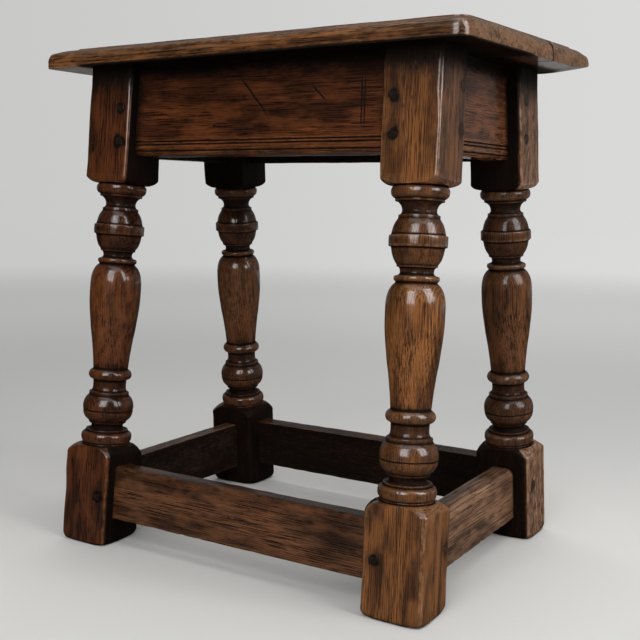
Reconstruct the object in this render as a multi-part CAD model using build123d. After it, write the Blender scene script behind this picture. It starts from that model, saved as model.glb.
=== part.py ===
from build123d import *
import os
from math import atan2, cos, radians, sin

# A joint stool in oak: four turned legs, four aprons and four stretchers, mortised,
# tenoned and pegged, under a seat of two boards.  Millimetres, +Z up.  The origin is on
# the floor, midway between the feet.  X runs along the seat and Y from front to rear.

# ---- legs: square blocks left on a turned blank, leaning in towards the seat ----
LEG_SQUARE = 52.0            # section of the leg blank
LEG_ARRIS = 2.5              # worn roundness of the long arrises
LEG_SPAN_X = 354.0           # between leg axes on the floor, along the seat
LEG_SPAN_Y = 260.0           # between leg axes on the floor, across the seat
LEAN_X = 1.15                # degrees of lean seen from the front
LEAN_Y = 5.05                # degrees of lean seen from the end
FRAME_HEIGHT = 482.0         # floor to the underside of the seat
UPPER_BLOCK = 114.5          # height of the square block that takes the aprons
LOWER_BLOCK = 98.5           # height of the square block that takes the stretchers
SHOULDER_DEPTH = 11.0        # how far the block's corners are rounded in
SHOULDER_RIM = 0.8           # the rounding starts this far outside the corners
UPPER_SHOULDER = 9.0         # height of the rounding under the upper block
LOWER_SHOULDER = 14.0        # height of the rounding over the lower block
FOOT_CHAMFER = 3.0

# ---- turned profile, from the upper block down: radii and heights of each member ----
TOP_RING_RADIUS, TOP_RING_HEIGHT = 25.3, 10.6
TOP_RING_NECK = 22.5         # radius where the ring meets its neighbours
TOP_FILLET_RADIUS, TOP_FILLET_HEIGHT = 21.4, 2.6
TOP_COVE_RADIUS, TOP_COVE_HEIGHT = 15.1, 11.5
TOP_COVE_LIP = 18.2          # radius of the small fillet at both ends of the vase
LIP_HEIGHT = 2.4
VASE_RADIUS, VASE_HALF_HEIGHT = 23.6, 14.2
VASE_SWELL = 21.7            # radius halfway up each half of the vase
BAND_RADIUS, BAND_HEIGHT = 25.5, 9.3
LOW_COVE_RADIUS, LOW_COVE_HEIGHT = 14.6, 7.0
COLLAR_RADIUS, COLLAR_HEIGHT = 19.9, 4.2
BALUSTER_TOP_RADIUS = 17.9
BALUSTER_SWELL = 24.0        # halfway down its shoulder
BALUSTER_RADIUS = 25.8       # fullest part of the long baluster, just inside the square
BALUSTER_SHOULDER = 28.0     # from its top down to the fullest part
BALUSTER_BREAST = 25.2       # halfway down to the waist
BALUSTER_WAIST = 22.5        # where the swelling turns into the slim stem
BALUSTER_BREAST_SHARE = 0.52
BALUSTER_STEM = 19.6         # halfway down the stem
BALUSTER_FOOT_RADIUS = 17.7
RING_RADIUS, RING_HEIGHT = 22.0, 11.6
NECK_RADIUS, NECK_HEIGHT = 16.8, 12.4
NECK_LIP_RADIUS, NECK_LIP_HEIGHT = 20.3, 3.2
BALL_RADIUS, BALL_HEIGHT = 25.7, 26.4
BALL_SWELL = 24.5            # radius halfway from its ends to its middle
BALL_LIP_RADIUS, BALL_LIP_HEIGHT = 19.1, 2.4
FOOT_COVE_RADIUS, FOOT_COVE_HEIGHT = 16.1, 6.4
STEP_RADIUS, STEP_HEIGHT = 21.6, 2.6
FOOT_RING_RADIUS, FOOT_RING_HEIGHT = 25.7, 11.8
FOOT_NECK_RADIUS, FOOT_NECK_HEIGHT = 24.0, 2.0

# ---- rails: aprons under the seat and stretchers near the floor ----
RAIL_INSET = 12.0            # rail face behind the leg face
RAIL_THICKNESS = 22.0
APRON_DEPTH = 91.0
STRETCHER_DEPTH = 54.0
STRETCHER_CLEARANCE = 26.0   # floor to the underside of the front and rear stretchers
SIDE_STRETCHER_DROP = 3.5    # side stretchers stand this much lower
STRETCHER_WEAR = 3.0         # rubbed upper outer arris of the long stretchers
SIDE_STRETCHER_WEAR = 8.0    # the same on the side stretchers
BOTTOM_CHAMFER = 3.0         # bevel under the moulded edge of an apron
BEAD_HEIGHT = 7.0            # half-round bead above that bevel
GROOVE_HEIGHT = 6.0          # scratched hollow above the bead
GROOVE_DEPTH = 1.8

# ---- joints ----
TENON_THICKNESS = 9.0
TENON_LENGTH = 23.0
TENON_SET = 7.0              # face of the rail to the near cheek of its tenon
APRON_HAUNCH = 16.0          # tenon stops this far below the leg's top
APRON_TENON_FOOT = 6.0       # and this far above the apron's lower edge
STRETCHER_TENON_STEP = 5.0   # tenon stops this far inside both stretcher edges
CHEEK_FIT = 0.1              # clearance round a tenon
MORTISE_FLOOR = 1.0          # room left past a tenon's end
PEG_SIZE = 8.4               # across the corners of the eight-sided pegs
PEG_FIT = 0.1                # radial clearance of a peg in its hole
PEG_PROUD = 1.0
PEG_DEPTH = 34.0
PEG_TIP = 1.0                # room left past a peg's end
PEG_TAPER = 0.4              # degrees
FRONT_PEG_SET = 11.0         # front and rear rail pegs, from the rail's shoulder
SIDE_PEG_SET = 9.0           # side rail pegs in the front legs
REAR_PEG_SET = 15.0          # side rail pegs in the rear legs
FRONT_PEG_DROPS = (41.0, 74.0)     # below the seat, through the long aprons' tenons
SIDE_PEG_DROPS = (28.0, 66.0)      # the same through the short aprons' tenons
FRONT_LOW_PEG_RISE = 23.0          # above a long stretcher's underside
SIDE_LOW_PEG_RISE = 36.0           # above a short stretcher's underside

# ---- seat: two boards with a moulded edge, a little out of square ----
SEAT_LENGTH = 484.0
SEAT_DEPTH = 258.0
SEAT_THICKNESS = 21.5
FRONT_BOARD_DEPTH = 167.0    # the rear board takes the rest
BOARD_GAP = 0.5
RIGHT_END_SKEW = 20.0        # the front corner of the right end falls this far short
LEFT_END_SKEW = 7.0          # the rear corner of the left end falls this far short
FRONT_EDGE_SKEW = 3.5        # the right end of the front edge comes this far forward
EDGE_NOSE = 10.0             # upright part of the moulded edge
EDGE_QUIRK = 2.0             # small step up to the flat of the seat
EDGE_FULLNESS = 0.32         # how near its corner the moulding's round passes
EDGE_WIDTH = 22.0            # width of the moulding on the front, rear and left edges
RIGHT_EDGE_WIDTH = 12.0      # the right end is narrower
CORNER_RADIUS = 5.0
WORN_CORNER_RADIUS = 14.0    # front right corner
SEAT_PEG_SIZE = 9.0
SEAT_PEG_PROUD = 0.4
SEAT_PEG_DEPTH = 30.0

SIDES = {"left": -1, "right": 1}
ENDS = {"front": -1, "rear": 1}
REACH = 2 * FRAME_HEIGHT     # larger than any piece, for trimming
HALF_SQUARE = LEG_SQUARE / 2
ARC_RISE = 1 - 0.5 ** 0.5    # middle of a quarter round, as a share of its radius from the corner
BLANK_LENGTH = FRAME_HEIGHT + 2.5 * LEG_SQUARE


def one(shape):
    """The single solid of a shape."""
    solids = shape.solids()
    assert len(solids) == 1, f"{len(solids)} solids where one is expected"
    return solids[0]


def box_between(low, high):
    """A box from one corner to the opposite one."""
    size = [b - a for a, b in zip(low, high)]
    centre = [(a + b) / 2 for a, b in zip(low, high)]
    return Pos(*centre) * Box(*size)


# ---------------------------------------------------------------- planes of the frame
def long_plane(end):
    """Plane of the front or rear frame: X along the rail, Z up the lean, on the leg axes."""
    lean = radians(LEAN_Y)
    up = (0, -end * sin(lean), cos(lean))
    return Plane(origin=(0, end * LEG_SPAN_Y / 2, 0), x_dir=(1, 0, 0), z_dir=up)


def side_plane(side):
    """Plane of the left or right frame: X towards the front, Y to the right, Z up the lean."""
    lean = radians(LEAN_X)
    up = (-side * sin(lean), 0, cos(lean))
    return Plane(origin=(side * LEG_SPAN_X / 2, 0, 0), x_dir=(0, -1, 0), z_dir=up)


def leg_plane(side, end):
    """Plane of one leg: Z up its axis, X to the right and Y to the rear across its faces."""
    frame = long_plane(end)
    lean = radians(LEAN_X)
    axis = frame.z_dir * cos(lean) - frame.x_dir * (side * sin(lean))
    across = frame.x_dir * cos(lean) + frame.z_dir * (side * sin(lean))
    origin = (side * LEG_SPAN_X / 2, end * LEG_SPAN_Y / 2, 0)
    return Plane(origin=origin, x_dir=across, z_dir=axis)


def between_floor_and_seat():
    return box_between((-REACH, -REACH, 0), (REACH, REACH, FRAME_HEIGHT))


# ---------------------------------------------------------------- turned legs
class Turner:
    """Walks down a leg and lays the edges of its half outline one after another."""

    def __init__(self, radius, height):
        self.radius, self.height = radius, height
        self.edges = []

    def point(self, radius, drop):
        return (radius, self.height - drop)

    def line(self, radius, drop=0.0):
        """A straight stretch to a new radius, lower by the drop."""
        if (radius, drop) != (self.radius, 0.0):
            self.edges.append(Line(self.point(self.radius, 0), self.point(radius, drop)))
        self.radius, self.height = radius, self.height - drop

    def arc(self, middle, radius, drop, share=0.5):
        """A swelling through a middle radius, at a share of the drop."""
        start, end = self.point(self.radius, 0), self.point(radius, drop)
        through = self.point(middle, share * drop)
        self.edges.append(ThreePointArc(start, through, end))
        self.radius, self.height = radius, self.height - drop

    def hollow(self, middle, radius, drop, share=0.5):
        """A cove through a middle radius, at a share of the drop."""
        path = self.point(self.radius, 0), self.point(middle, share * drop), self.point(radius, drop)
        self.edges.append(Spline(*path))
        self.radius, self.height = radius, self.height - drop

    def flow(self, points, start_tangent, end_tangent):
        """A smooth curve through points given as (radius, drop)."""
        path = [self.point(self.radius, 0)] + [self.point(r, d) for r, d in points]
        self.edges.append(Spline(*path, tangents=(start_tangent, end_tangent)))
        self.radius, self.height = points[-1][0], self.height - points[-1][1]


def turned_profile():
    """Half outline of a leg: wide open at the two square blocks, turned between them."""
    outside = LEG_SQUARE
    corner = (HALF_SQUARE - LEG_ARRIS) * 2 ** 0.5 + LEG_ARRIS
    rim = corner + SHOULDER_RIM
    neck = corner - SHOULDER_DEPTH
    pen = Turner(0, FRAME_HEIGHT + LEG_SQUARE)
    pen.line(outside)
    pen.line(outside, LEG_SQUARE + UPPER_BLOCK - UPPER_SHOULDER)
    pen.line(rim)
    pen.flow([(neck, UPPER_SHOULDER)], (0, -1), (-1, 0))

    pen.line(TOP_RING_NECK)
    pen.arc(TOP_RING_RADIUS, TOP_RING_NECK, TOP_RING_HEIGHT)
    pen.line(TOP_FILLET_RADIUS)
    pen.line(TOP_FILLET_RADIUS, TOP_FILLET_HEIGHT)
    pen.hollow(TOP_COVE_RADIUS, TOP_COVE_LIP, TOP_COVE_HEIGHT, 0.55)
    pen.line(TOP_COVE_LIP, LIP_HEIGHT)
    pen.arc(VASE_SWELL, VASE_RADIUS, VASE_HALF_HEIGHT)
    pen.line(BAND_RADIUS)
    pen.line(BAND_RADIUS, BAND_HEIGHT)
    pen.line(VASE_RADIUS)
    pen.arc(VASE_SWELL, TOP_COVE_LIP, VASE_HALF_HEIGHT)
    pen.line(TOP_COVE_LIP, LIP_HEIGHT)
    pen.hollow(LOW_COVE_RADIUS, TOP_COVE_LIP, LOW_COVE_HEIGHT)
    pen.line(COLLAR_RADIUS, COLLAR_HEIGHT / 3)
    pen.line(COLLAR_RADIUS, COLLAR_HEIGHT / 3)
    pen.line(BALUSTER_TOP_RADIUS, COLLAR_HEIGHT / 3)

    below = (RING_HEIGHT + NECK_HEIGHT + NECK_LIP_HEIGHT + BALL_HEIGHT + BALL_LIP_HEIGHT
             + FOOT_COVE_HEIGHT + STEP_HEIGHT + FOOT_RING_HEIGHT + FOOT_NECK_HEIGHT + LOWER_BLOCK)
    length = pen.height - below
    taper = length - BALUSTER_SHOULDER
    pen.arc(BALUSTER_SWELL, BALUSTER_RADIUS, BALUSTER_SHOULDER, 0.42)
    pen.arc(BALUSTER_BREAST, BALUSTER_WAIST, BALUSTER_BREAST_SHARE * taper)
    pen.arc(BALUSTER_STEM, BALUSTER_FOOT_RADIUS, (1 - BALUSTER_BREAST_SHARE) * taper)

    pen.arc(RING_RADIUS, NECK_RADIUS, RING_HEIGHT)
    pen.flow([(NECK_LIP_RADIUS, NECK_HEIGHT)], (0, -1), (1, -0.8))
    pen.line(NECK_LIP_RADIUS, NECK_LIP_HEIGHT)
    pen.arc(BALL_SWELL, BALL_RADIUS, BALL_HEIGHT / 2, 0.42)
    pen.arc(BALL_SWELL, BALL_LIP_RADIUS, BALL_HEIGHT / 2, 0.58)
    pen.line(BALL_LIP_RADIUS, BALL_LIP_HEIGHT)
    pen.hollow(FOOT_COVE_RADIUS, STEP_RADIUS, FOOT_COVE_HEIGHT, 0.4)
    pen.line(STEP_RADIUS, STEP_HEIGHT)
    pen.arc(FOOT_RING_RADIUS, FOOT_NECK_RADIUS, FOOT_RING_HEIGHT)
    pen.line(FOOT_NECK_RADIUS, FOOT_NECK_HEIGHT)

    pen.line(neck)
    pen.flow([(rim, LOWER_SHOULDER)], (1, 0), (0, -1))
    pen.line(outside)
    pen.line(outside, pen.height + LEG_SQUARE)
    pen.line(0)
    pen.line(0, pen.height - FRAME_HEIGHT - LEG_SQUARE)
    return make_face(pen.edges)


def leg_blank(side, end):
    """The square blank of a leg, longer than the leg at both ends."""
    section = leg_plane(side, end).offset(-LEG_SQUARE) * RectangleRounded(LEG_SQUARE, LEG_SQUARE, LEG_ARRIS)
    return extrude(section, amount=BLANK_LENGTH)


def leg_body(side, end):
    """A leg before its mortises are cut, level at the floor and under the seat."""
    plane = leg_plane(side, end)
    section = plane.offset(-LEG_SQUARE) * Rectangle(LEG_SQUARE, LEG_SQUARE)
    square = extrude(section, amount=BLANK_LENGTH) & between_floor_and_seat()
    foot = square.faces().sort_by(Axis.Z)[0]
    square = chamfer(foot.edges(), FOOT_CHAMFER)
    turned = plane.location * Rot(Z=180) * revolve(Plane.XZ * turned_profile(), Axis.Z)
    return square & leg_blank(side, end) & turned


# ---------------------------------------------------------------- rails
class Rail:
    """An apron or stretcher in one of the four leaning frames, with a tenon at each end."""

    def __init__(self, plane, outward, legs, low, high, tenon_low, tenon_high):
        self.plane, self.outward, self.legs = plane, outward, legs
        self.low, self.high = low, high
        self.tenon_low, self.tenon_high = tenon_low, tenon_high
        self.face = HALF_SQUARE - RAIL_INSET

    def bar(self, near, far, low, high, half):
        """A straight bar, from near to far measured outwards from the leg axes."""
        across = sorted((self.outward * near, self.outward * far))
        return self.plane.location * box_between((-half, across[0], low), (half, across[1], high))

    def reach(self):
        """Half length that ends on the leg axes at the floor, so inside both legs."""
        return (LEG_SPAN_X if self.plane.x_dir.X > 0.5 else LEG_SPAN_Y) / 2

    def tenon_bar(self, fit=0.0):
        cheek = self.face - TENON_SET
        return self.bar(cheek - TENON_THICKNESS - fit, cheek + fit,
                        self.tenon_low - fit, self.tenon_high + fit, self.reach())

    def slab(self, side, end, near, far):
        """The space between two depths behind the face of a leg that this rail meets."""
        depths = (near - HALF_SQUARE, far - HALF_SQUARE)
        if self.plane.x_dir.X > 0.5:
            ends = sorted(side * depth for depth in depths)
            low, high = (ends[0], -REACH, -REACH), (ends[1], REACH, REACH)
        else:
            ends = sorted(end * depth for depth in depths)
            low, high = (-REACH, ends[0], -REACH), (REACH, ends[1], REACH)
        return leg_plane(side, end).location * box_between(low, high)

    def mortise(self, side, end):
        return self.tenon_bar(CHEEK_FIT) & self.slab(side, end, -1, TENON_LENGTH + MORTISE_FLOOR)

    def solid(self, outline):
        """The board between the legs with its shaped section, and its two tenons."""
        body = self.section_bar(outline)
        for side, end in self.legs:
            body -= self.slab(side, end, 0, REACH)
        for side, end in self.legs:
            body += self.tenon_bar() & self.slab(side, end, -1, TENON_LENGTH)
        return body & between_floor_and_seat()

    def section_bar(self, outline):
        """A bar whose section is an outline of (outward, up) points, along the whole reach."""
        start = Plane(origin=(-self.reach(), 0, 0), x_dir=(0, self.outward, 0), z_dir=(self.outward, 0, 0))
        bar = extrude(start * outline, amount=2 * self.reach() * self.outward)
        return self.plane.location * bar


def apron_outline(low, high):
    """Section of an apron: plain face, scratched hollow, half-round bead, bevelled underside."""
    face = HALF_SQUARE - RAIL_INSET
    back = face - RAIL_THICKNESS
    bead_low = low + BOTTOM_CHAMFER
    bead_high = bead_low + BEAD_HEIGHT
    groove_high = bead_high + GROOVE_HEIGHT
    bead_rise = GROOVE_DEPTH / 2
    edges = [
        Line((back, low), (face - BOTTOM_CHAMFER, low)),
        Line((face - BOTTOM_CHAMFER, low), (face - bead_rise, bead_low)),
        ThreePointArc((face - bead_rise, bead_low), (face, (bead_low + bead_high) / 2),
                      (face - bead_rise, bead_high)),
        ThreePointArc((face - bead_rise, bead_high), (face - GROOVE_DEPTH, (bead_high + groove_high) / 2),
                      (face, groove_high)),
        Line((face, groove_high), (face, high)),
        Line((face, high), (back, high)),
        Line((back, high), (back, low)),
    ]
    return make_face(edges)


def stretcher_outline(low, high, wear):
    """Section of a stretcher: a plain board whose upper outer arris is rubbed round."""
    face = HALF_SQUARE - RAIL_INSET
    back = face - RAIL_THICKNESS
    edges = [
        Line((back, low), (face, low)),
        Line((face, low), (face, high - wear)),
        ThreePointArc((face, high - wear), (face - wear * ARC_RISE, high - wear * ARC_RISE), (face - wear, high)),
        Line((face - wear, high), (back, high)),
        Line((back, high), (back, low)),
    ]
    return make_face(edges)


def lift(height, lean):
    """A height above the floor, measured up a leaning frame."""
    return height / cos(radians(lean))


def make_rails():
    """Every rail by name, with its shaped solid's outline."""
    frames = {}
    for name, end in ENDS.items():
        frames[name] = (long_plane(end), end, [(side, end) for side in (-1, 1)], LEAN_Y, 0.0, STRETCHER_WEAR)
    for name, side in SIDES.items():
        frames[name] = (side_plane(side), side, [(side, end) for end in (-1, 1)], LEAN_X,
                        SIDE_STRETCHER_DROP, SIDE_STRETCHER_WEAR)
    rails = {}
    for name, (plane, outward, legs, lean, drop, wear) in frames.items():
        top = lift(FRAME_HEIGHT, lean)
        low = top - APRON_DEPTH
        apron = Rail(plane, outward, legs, low, top + RAIL_THICKNESS,
                     low + APRON_TENON_FOOT, top - APRON_HAUNCH)
        rails["apron_" + name] = (apron, apron_outline(low, top + RAIL_THICKNESS))
        low = lift(STRETCHER_CLEARANCE - drop, lean)
        high = low + STRETCHER_DEPTH
        stretcher = Rail(plane, outward, legs, low, high,
                         low + STRETCHER_TENON_STEP, high - STRETCHER_TENON_STEP)
        rails["stretcher_" + name] = (stretcher, stretcher_outline(low, high, wear))
    return rails


# ---------------------------------------------------------------- pegs
def peg_plane(side, end, into_side_face, height):
    """Plane on a leg's outer face where a peg enters, its Z pointing out of the leg."""
    leg = leg_plane(side, end)
    if into_side_face:
        shoulder = SIDE_PEG_SET if end < 0 else REAR_PEG_SET
        local = (side * HALF_SQUARE, -end * (HALF_SQUARE - shoulder), height)
        outward = leg.x_dir * side
    else:
        local = (-side * (HALF_SQUARE - FRONT_PEG_SET), end * HALF_SQUARE, height)
        outward = leg.y_dir * end
    return Plane(origin=leg.from_local_coords(local), x_dir=leg.z_dir, z_dir=outward)


def peg(plane, size, proud, depth):
    """A riven eight-sided peg, slightly tapered, its head standing proud."""
    head = plane.offset(proud) * RegularPolygon(size / 2, 8)
    return extrude(head, amount=-(proud + depth), taper=PEG_TAPER)


def peg_hole(plane, size, depth):
    hole = plane.offset(1.0) * Circle(size / 2 + PEG_FIT)
    return extrude(hole, amount=-(1.0 + depth + PEG_TIP))


def leg_pegs(side, end):
    """Planes of a leg's pegs: four through the apron tenons and two through the stretchers'."""
    front = [FRAME_HEIGHT - drop for drop in FRONT_PEG_DROPS]
    sideways = [FRAME_HEIGHT - drop for drop in SIDE_PEG_DROPS]
    upper = [peg_plane(side, end, False, height) for height in front]
    upper += [peg_plane(side, end, True, height) for height in sideways]
    low_front = STRETCHER_CLEARANCE + FRONT_LOW_PEG_RISE
    low_side = STRETCHER_CLEARANCE - SIDE_STRETCHER_DROP + SIDE_LOW_PEG_RISE
    lower = [peg_plane(side, end, False, low_front), peg_plane(side, end, True, low_side)]
    return upper, lower


# ---------------------------------------------------------------- seat
def seat_corners():
    """Plan corners of the seat, from the front left one round by the right."""
    x, y = SEAT_LENGTH / 2, SEAT_DEPTH / 2
    return [(-x, -y), (x - RIGHT_END_SKEW, -y - FRONT_EDGE_SKEW), (x, y), (-x + LEFT_END_SKEW, y)]


def edge_waste(width):
    """What the moulding plane takes off an edge, with the edge at 0 and the board at minus X."""
    flat = SEAT_THICKNESS
    slope_end = flat - EDGE_QUIRK
    rise = slope_end - EDGE_NOSE
    shoulder = (-width * EDGE_FULLNESS, EDGE_NOSE + rise * (1 - EDGE_FULLNESS))
    edges = [
        ThreePointArc((0, EDGE_NOSE), shoulder, (-width, slope_end)),
        Line((-width, slope_end), (-width, flat + 1)),
        Line((-width, flat + 1), (width, flat + 1)),
        Line((width, flat + 1), (width, EDGE_NOSE)),
        Line((width, EDGE_NOSE), (0, EDGE_NOSE)),
    ]
    return make_face(edges)


def seat_blank():
    """The whole seat in one piece: plan outline, then the moulding along each edge."""
    corners = seat_corners()
    outline = make_face(Polyline(*corners, close=True))
    blank = Pos(0, 0, FRAME_HEIGHT) * extrude(outline, amount=SEAT_THICKNESS)
    upright = blank.edges().filter_by(Axis.Z)
    worn = upright.sort_by(Axis.Y)[0:2].sort_by(Axis.X)[-1]
    others = [edge for edge in upright if edge is not worn]
    blank = fillet(others, CORNER_RADIUS)
    worn = blank.edges().filter_by(Axis.Z).sort_by(lambda e: (e.center() - Vector(*corners[1], 0)).length)[0]
    blank = fillet(worn, WORN_CORNER_RADIUS)
    for index, start in enumerate(corners):
        finish = corners[(index + 1) % 4]
        width = RIGHT_EDGE_WIDTH if index == 1 else EDGE_WIDTH
        along = (Vector(*finish) - Vector(*start)).normalized()
        outward = Vector(along.Y, -along.X, 0)
        length = (Vector(*finish) - Vector(*start)).length
        origin = Vector(*start, FRAME_HEIGHT) - along * SEAT_DEPTH
        plane = Plane(origin=origin, x_dir=outward, z_dir=-along)
        blank -= extrude(plane * edge_waste(width), amount=-(length + 2 * SEAT_DEPTH))
    return blank


def seat_peg_planes():
    """Planes on the seat's top over the middle of each leg."""
    planes = []
    for side in SIDES.values():
        for end in ENDS.values():
            leg = leg_plane(side, end)
            centre = leg.origin + leg.z_dir * (FRAME_HEIGHT / leg.z_dir.Z)
            planes.append(Plane(origin=(centre.X, centre.Y, FRAME_HEIGHT + SEAT_THICKNESS), z_dir=(0, 0, 1)))
    return planes


# ---------------------------------------------------------------- the assembly
def build_parts():
    """Every piece by node name."""
    parts = {}
    rails = make_rails()
    seat_holes = [peg_hole(plane, SEAT_PEG_SIZE, SEAT_PEG_DEPTH) for plane in seat_peg_planes()]

    seat = seat_blank()
    for hole in seat_holes:
        seat -= hole
    joint = FRONT_BOARD_DEPTH - SEAT_DEPTH / 2
    low, high = (-REACH, -REACH, 0), (REACH, REACH, REACH)
    parts["seat_board_front"] = one(seat & box_between(low, (REACH, joint - BOARD_GAP / 2, REACH)))
    parts["seat_board_rear"] = one(seat & box_between((-REACH, joint + BOARD_GAP / 2, 0), high))
    seat_pegs = [peg(plane, SEAT_PEG_SIZE, SEAT_PEG_PROUD, SEAT_PEG_DEPTH) for plane in seat_peg_planes()]
    parts["seat_pegs"] = Compound(children=[one(p) for p in seat_pegs])

    tenon_holes = []
    for end_name, end in ENDS.items():
        for side_name, side in SIDES.items():
            upper, lower = leg_pegs(side, end)
            holes = [peg_hole(plane, PEG_SIZE, PEG_DEPTH) for plane in upper + lower]
            tenon_holes += [((side, end), hole) for hole in holes]
            body = leg_body(side, end)
            for rail, _ in rails.values():
                if (side, end) in rail.legs:
                    body -= rail.mortise(side, end)
            for hole in holes + seat_holes:
                body -= hole
            where = f"{end_name}_{side_name}"
            parts["leg_" + where] = one(body)
            parts["apron_pegs_" + where] = Compound(
                children=[one(peg(plane, PEG_SIZE, PEG_PROUD, PEG_DEPTH)) for plane in upper])
            parts["stretcher_pegs_" + where] = Compound(
                children=[one(peg(plane, PEG_SIZE, PEG_PROUD, PEG_DEPTH)) for plane in lower])

    for name, (rail, outline) in rails.items():
        body = rail.solid(outline)
        for leg, hole in tenon_holes:
            if leg in rail.legs:
                body -= hole
        parts[name] = one(body)
    return parts


if __name__ == "__main__":
    os.makedirs("parts", exist_ok=True)
    for name, shape in build_parts().items():
        export_step(shape, f"parts/{name}.step")
        print(name, f"{shape.volume:.0f} mm3")
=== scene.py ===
"""A low joint stool in waxed oak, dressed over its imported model.

Sizes are in millimetres.  Every mesh is written in metres in the model's own frame: the origin on
the floor between the feet, X along the seat, Y from front to rear and Z up.
"""
import logging
import math
from dataclasses import dataclass, field
from enum import Enum
from typing import ClassVar, Mapping, Sequence

import bpy
import numpy as np
from mathutils import Matrix, Vector


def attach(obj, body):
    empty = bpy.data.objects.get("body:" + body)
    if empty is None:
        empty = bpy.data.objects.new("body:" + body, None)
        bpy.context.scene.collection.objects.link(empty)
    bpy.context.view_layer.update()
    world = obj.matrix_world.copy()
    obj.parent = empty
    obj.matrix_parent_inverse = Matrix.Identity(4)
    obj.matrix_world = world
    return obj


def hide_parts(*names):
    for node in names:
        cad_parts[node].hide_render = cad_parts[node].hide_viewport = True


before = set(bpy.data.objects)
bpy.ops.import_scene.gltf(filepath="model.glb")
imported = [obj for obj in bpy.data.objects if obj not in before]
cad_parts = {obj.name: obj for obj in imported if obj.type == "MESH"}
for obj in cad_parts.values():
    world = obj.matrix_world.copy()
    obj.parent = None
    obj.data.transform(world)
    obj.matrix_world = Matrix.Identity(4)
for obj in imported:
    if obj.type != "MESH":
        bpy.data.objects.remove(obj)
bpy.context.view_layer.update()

LOG = logging.getLogger("joint_stool")
Array = np.ndarray
Socket = bpy.types.NodeSocket
Sockets = dict[str, Socket]
METRE = 0.001
BELL_REACH = 3.5     # widths of the bell at which it is cut off
ARC_SAMPLES = 80
WAVE_PERIOD = 0.314  # of the wave texture at a scale of 1


# ---- numbers on grids
class Noise:
    """Smooth value noise on a repeating cubic lattice of seeded random numbers."""

    SIZE = 32
    OCTAVE_SHIFT = 7.3
    OCTAVE_SUM = 1.6

    def __init__(self, seed: int) -> None:
        """Fills the lattice from a seed."""
        self.table = np.random.default_rng(seed).uniform(-1, 1, (self.SIZE,) * 3)

    def at(self, points: Array, patch: Sequence[float]) -> Array:
        """Noise from -1 to 1, blended between the eight lattice numbers round each point.

        Args:
            points: places in millimetres, three numbers along the last axis.
            patch: size of one patch of noise along each axis, in millimetres.

        Returns:
            One number for each point.
        """
        scaled = points / np.asarray(patch, float)
        cell = np.floor(scaled).astype(int)
        share = scaled - cell
        share = share * share * (3 - 2 * share)
        total = np.zeros(points.shape[:-1])
        for corner in np.ndindex(2, 2, 2):
            where = (cell + corner) % self.SIZE
            weight = np.prod(np.where(np.array(corner) == 1, share, 1 - share), axis=-1)
            total += weight * self.table[where[..., 0], where[..., 1], where[..., 2]]
        return total

    def rough(self, points: Array, patch: Sequence[float], octaves: int = 3) -> Array:
        """Sum of noises, each with half the size and half the strength of the one before.

        Args:
            points: places in millimetres, three numbers along the last axis.
            patch: size of the largest patch along each axis.
            octaves: how many noises are added.

        Returns:
            One number for each point, mostly from -1 to 1.
        """
        total = np.zeros(points.shape[:-1])
        for octave in range(octaves):
            half = 0.5 ** octave
            moved = points + self.OCTAVE_SHIFT * octave
            total += self.at(moved, np.asarray(patch) * half) * half
        return total / self.OCTAVE_SUM


def bell(values: Array, width: float, step: float, closed: bool) -> Array:
    """Blurs rows of numbers with a bell curve.

    Args:
        values: numbers with the samples along the first axis.
        width: standard deviation of the bell, in the units of step.
        step: distance between samples.
        closed: True where the last sample is next to the first.

    Returns:
        The blurred numbers, same shape.
    """
    reach = max(1, int(math.ceil(BELL_REACH * width / step)))
    kernel = np.exp(-0.5 * (np.arange(-reach, reach + 1) * step / width) ** 2)
    kernel /= kernel.sum()
    values = np.asarray(values, float)
    if closed:
        padded = np.concatenate([values[-reach:], values, values[:reach]])
    else:
        before = 2 * values[:1] - values[reach:0:-1]
        after = 2 * values[-1:] - values[-2:-reach - 2:-1]
        padded = np.concatenate([before, values, after])
    flat = padded.reshape(len(padded), -1)
    blurred = np.stack([np.convolve(column, kernel, "valid") for column in flat.T], axis=1)
    return blurred.reshape(values.shape)


def held(values: Array) -> Array:
    """Numbers held between 0 and 1."""
    return np.clip(values, 0, 1)


def fall(distance: Array, width: float) -> Array:
    """1 at no distance, falling to 0 as a bell: e to the minus (distance over width) squared."""
    return np.exp(-(distance / width) ** 2)


def along(points: Array) -> Array:
    """Distance travelled at each point of a path, from 0."""
    return np.concatenate([[0.0], np.cumsum(np.linalg.norm(np.diff(points, axis=0), axis=1))])


def through(points: Sequence[tuple[float, float]], step: float = 0.1) -> Array:
    """A smooth curve through a few points: a cubic in each span, with slopes from the neighbours.

    The cubic is the sum of the span's two ends and two slopes, each times its own blend of t, the
    share of the span travelled.

    Args:
        points: places on the curve.
        step: distance between samples.

    Returns:
        Samples of the curve, two numbers each.
    """
    knots = np.asarray(points, float)
    mark = along(knots)
    slope = np.gradient(knots, mark, axis=0)
    wanted = np.linspace(0, mark[-1], max(2, int(mark[-1] / step)))
    span = np.clip(np.searchsorted(mark, wanted, side="right") - 1, 0, len(knots) - 2)
    width = (mark[span + 1] - mark[span])[:, None]
    t = (wanted - mark[span])[:, None] / width
    start, end = knots[span], knots[span + 1]
    return ((2 * t ** 3 - 3 * t ** 2 + 1) * start
            + (t ** 3 - 2 * t ** 2 + t) * width * slope[span]
            + (3 * t ** 2 - 2 * t ** 3) * end
            + (t ** 3 - t ** 2) * width * slope[span + 1])


def quarter(centre: tuple[float, float], wide: float, tall: float, start: float,
            turn: float) -> Array:
    """Part of an ellipse: centre plus (wide cos, tall sin), from start over turn degrees."""
    angle = np.radians(np.linspace(start, start + turn, ARC_SAMPLES))
    return np.stack([centre[0] + wide * np.cos(angle), centre[1] + tall * np.sin(angle)], axis=1)


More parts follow.
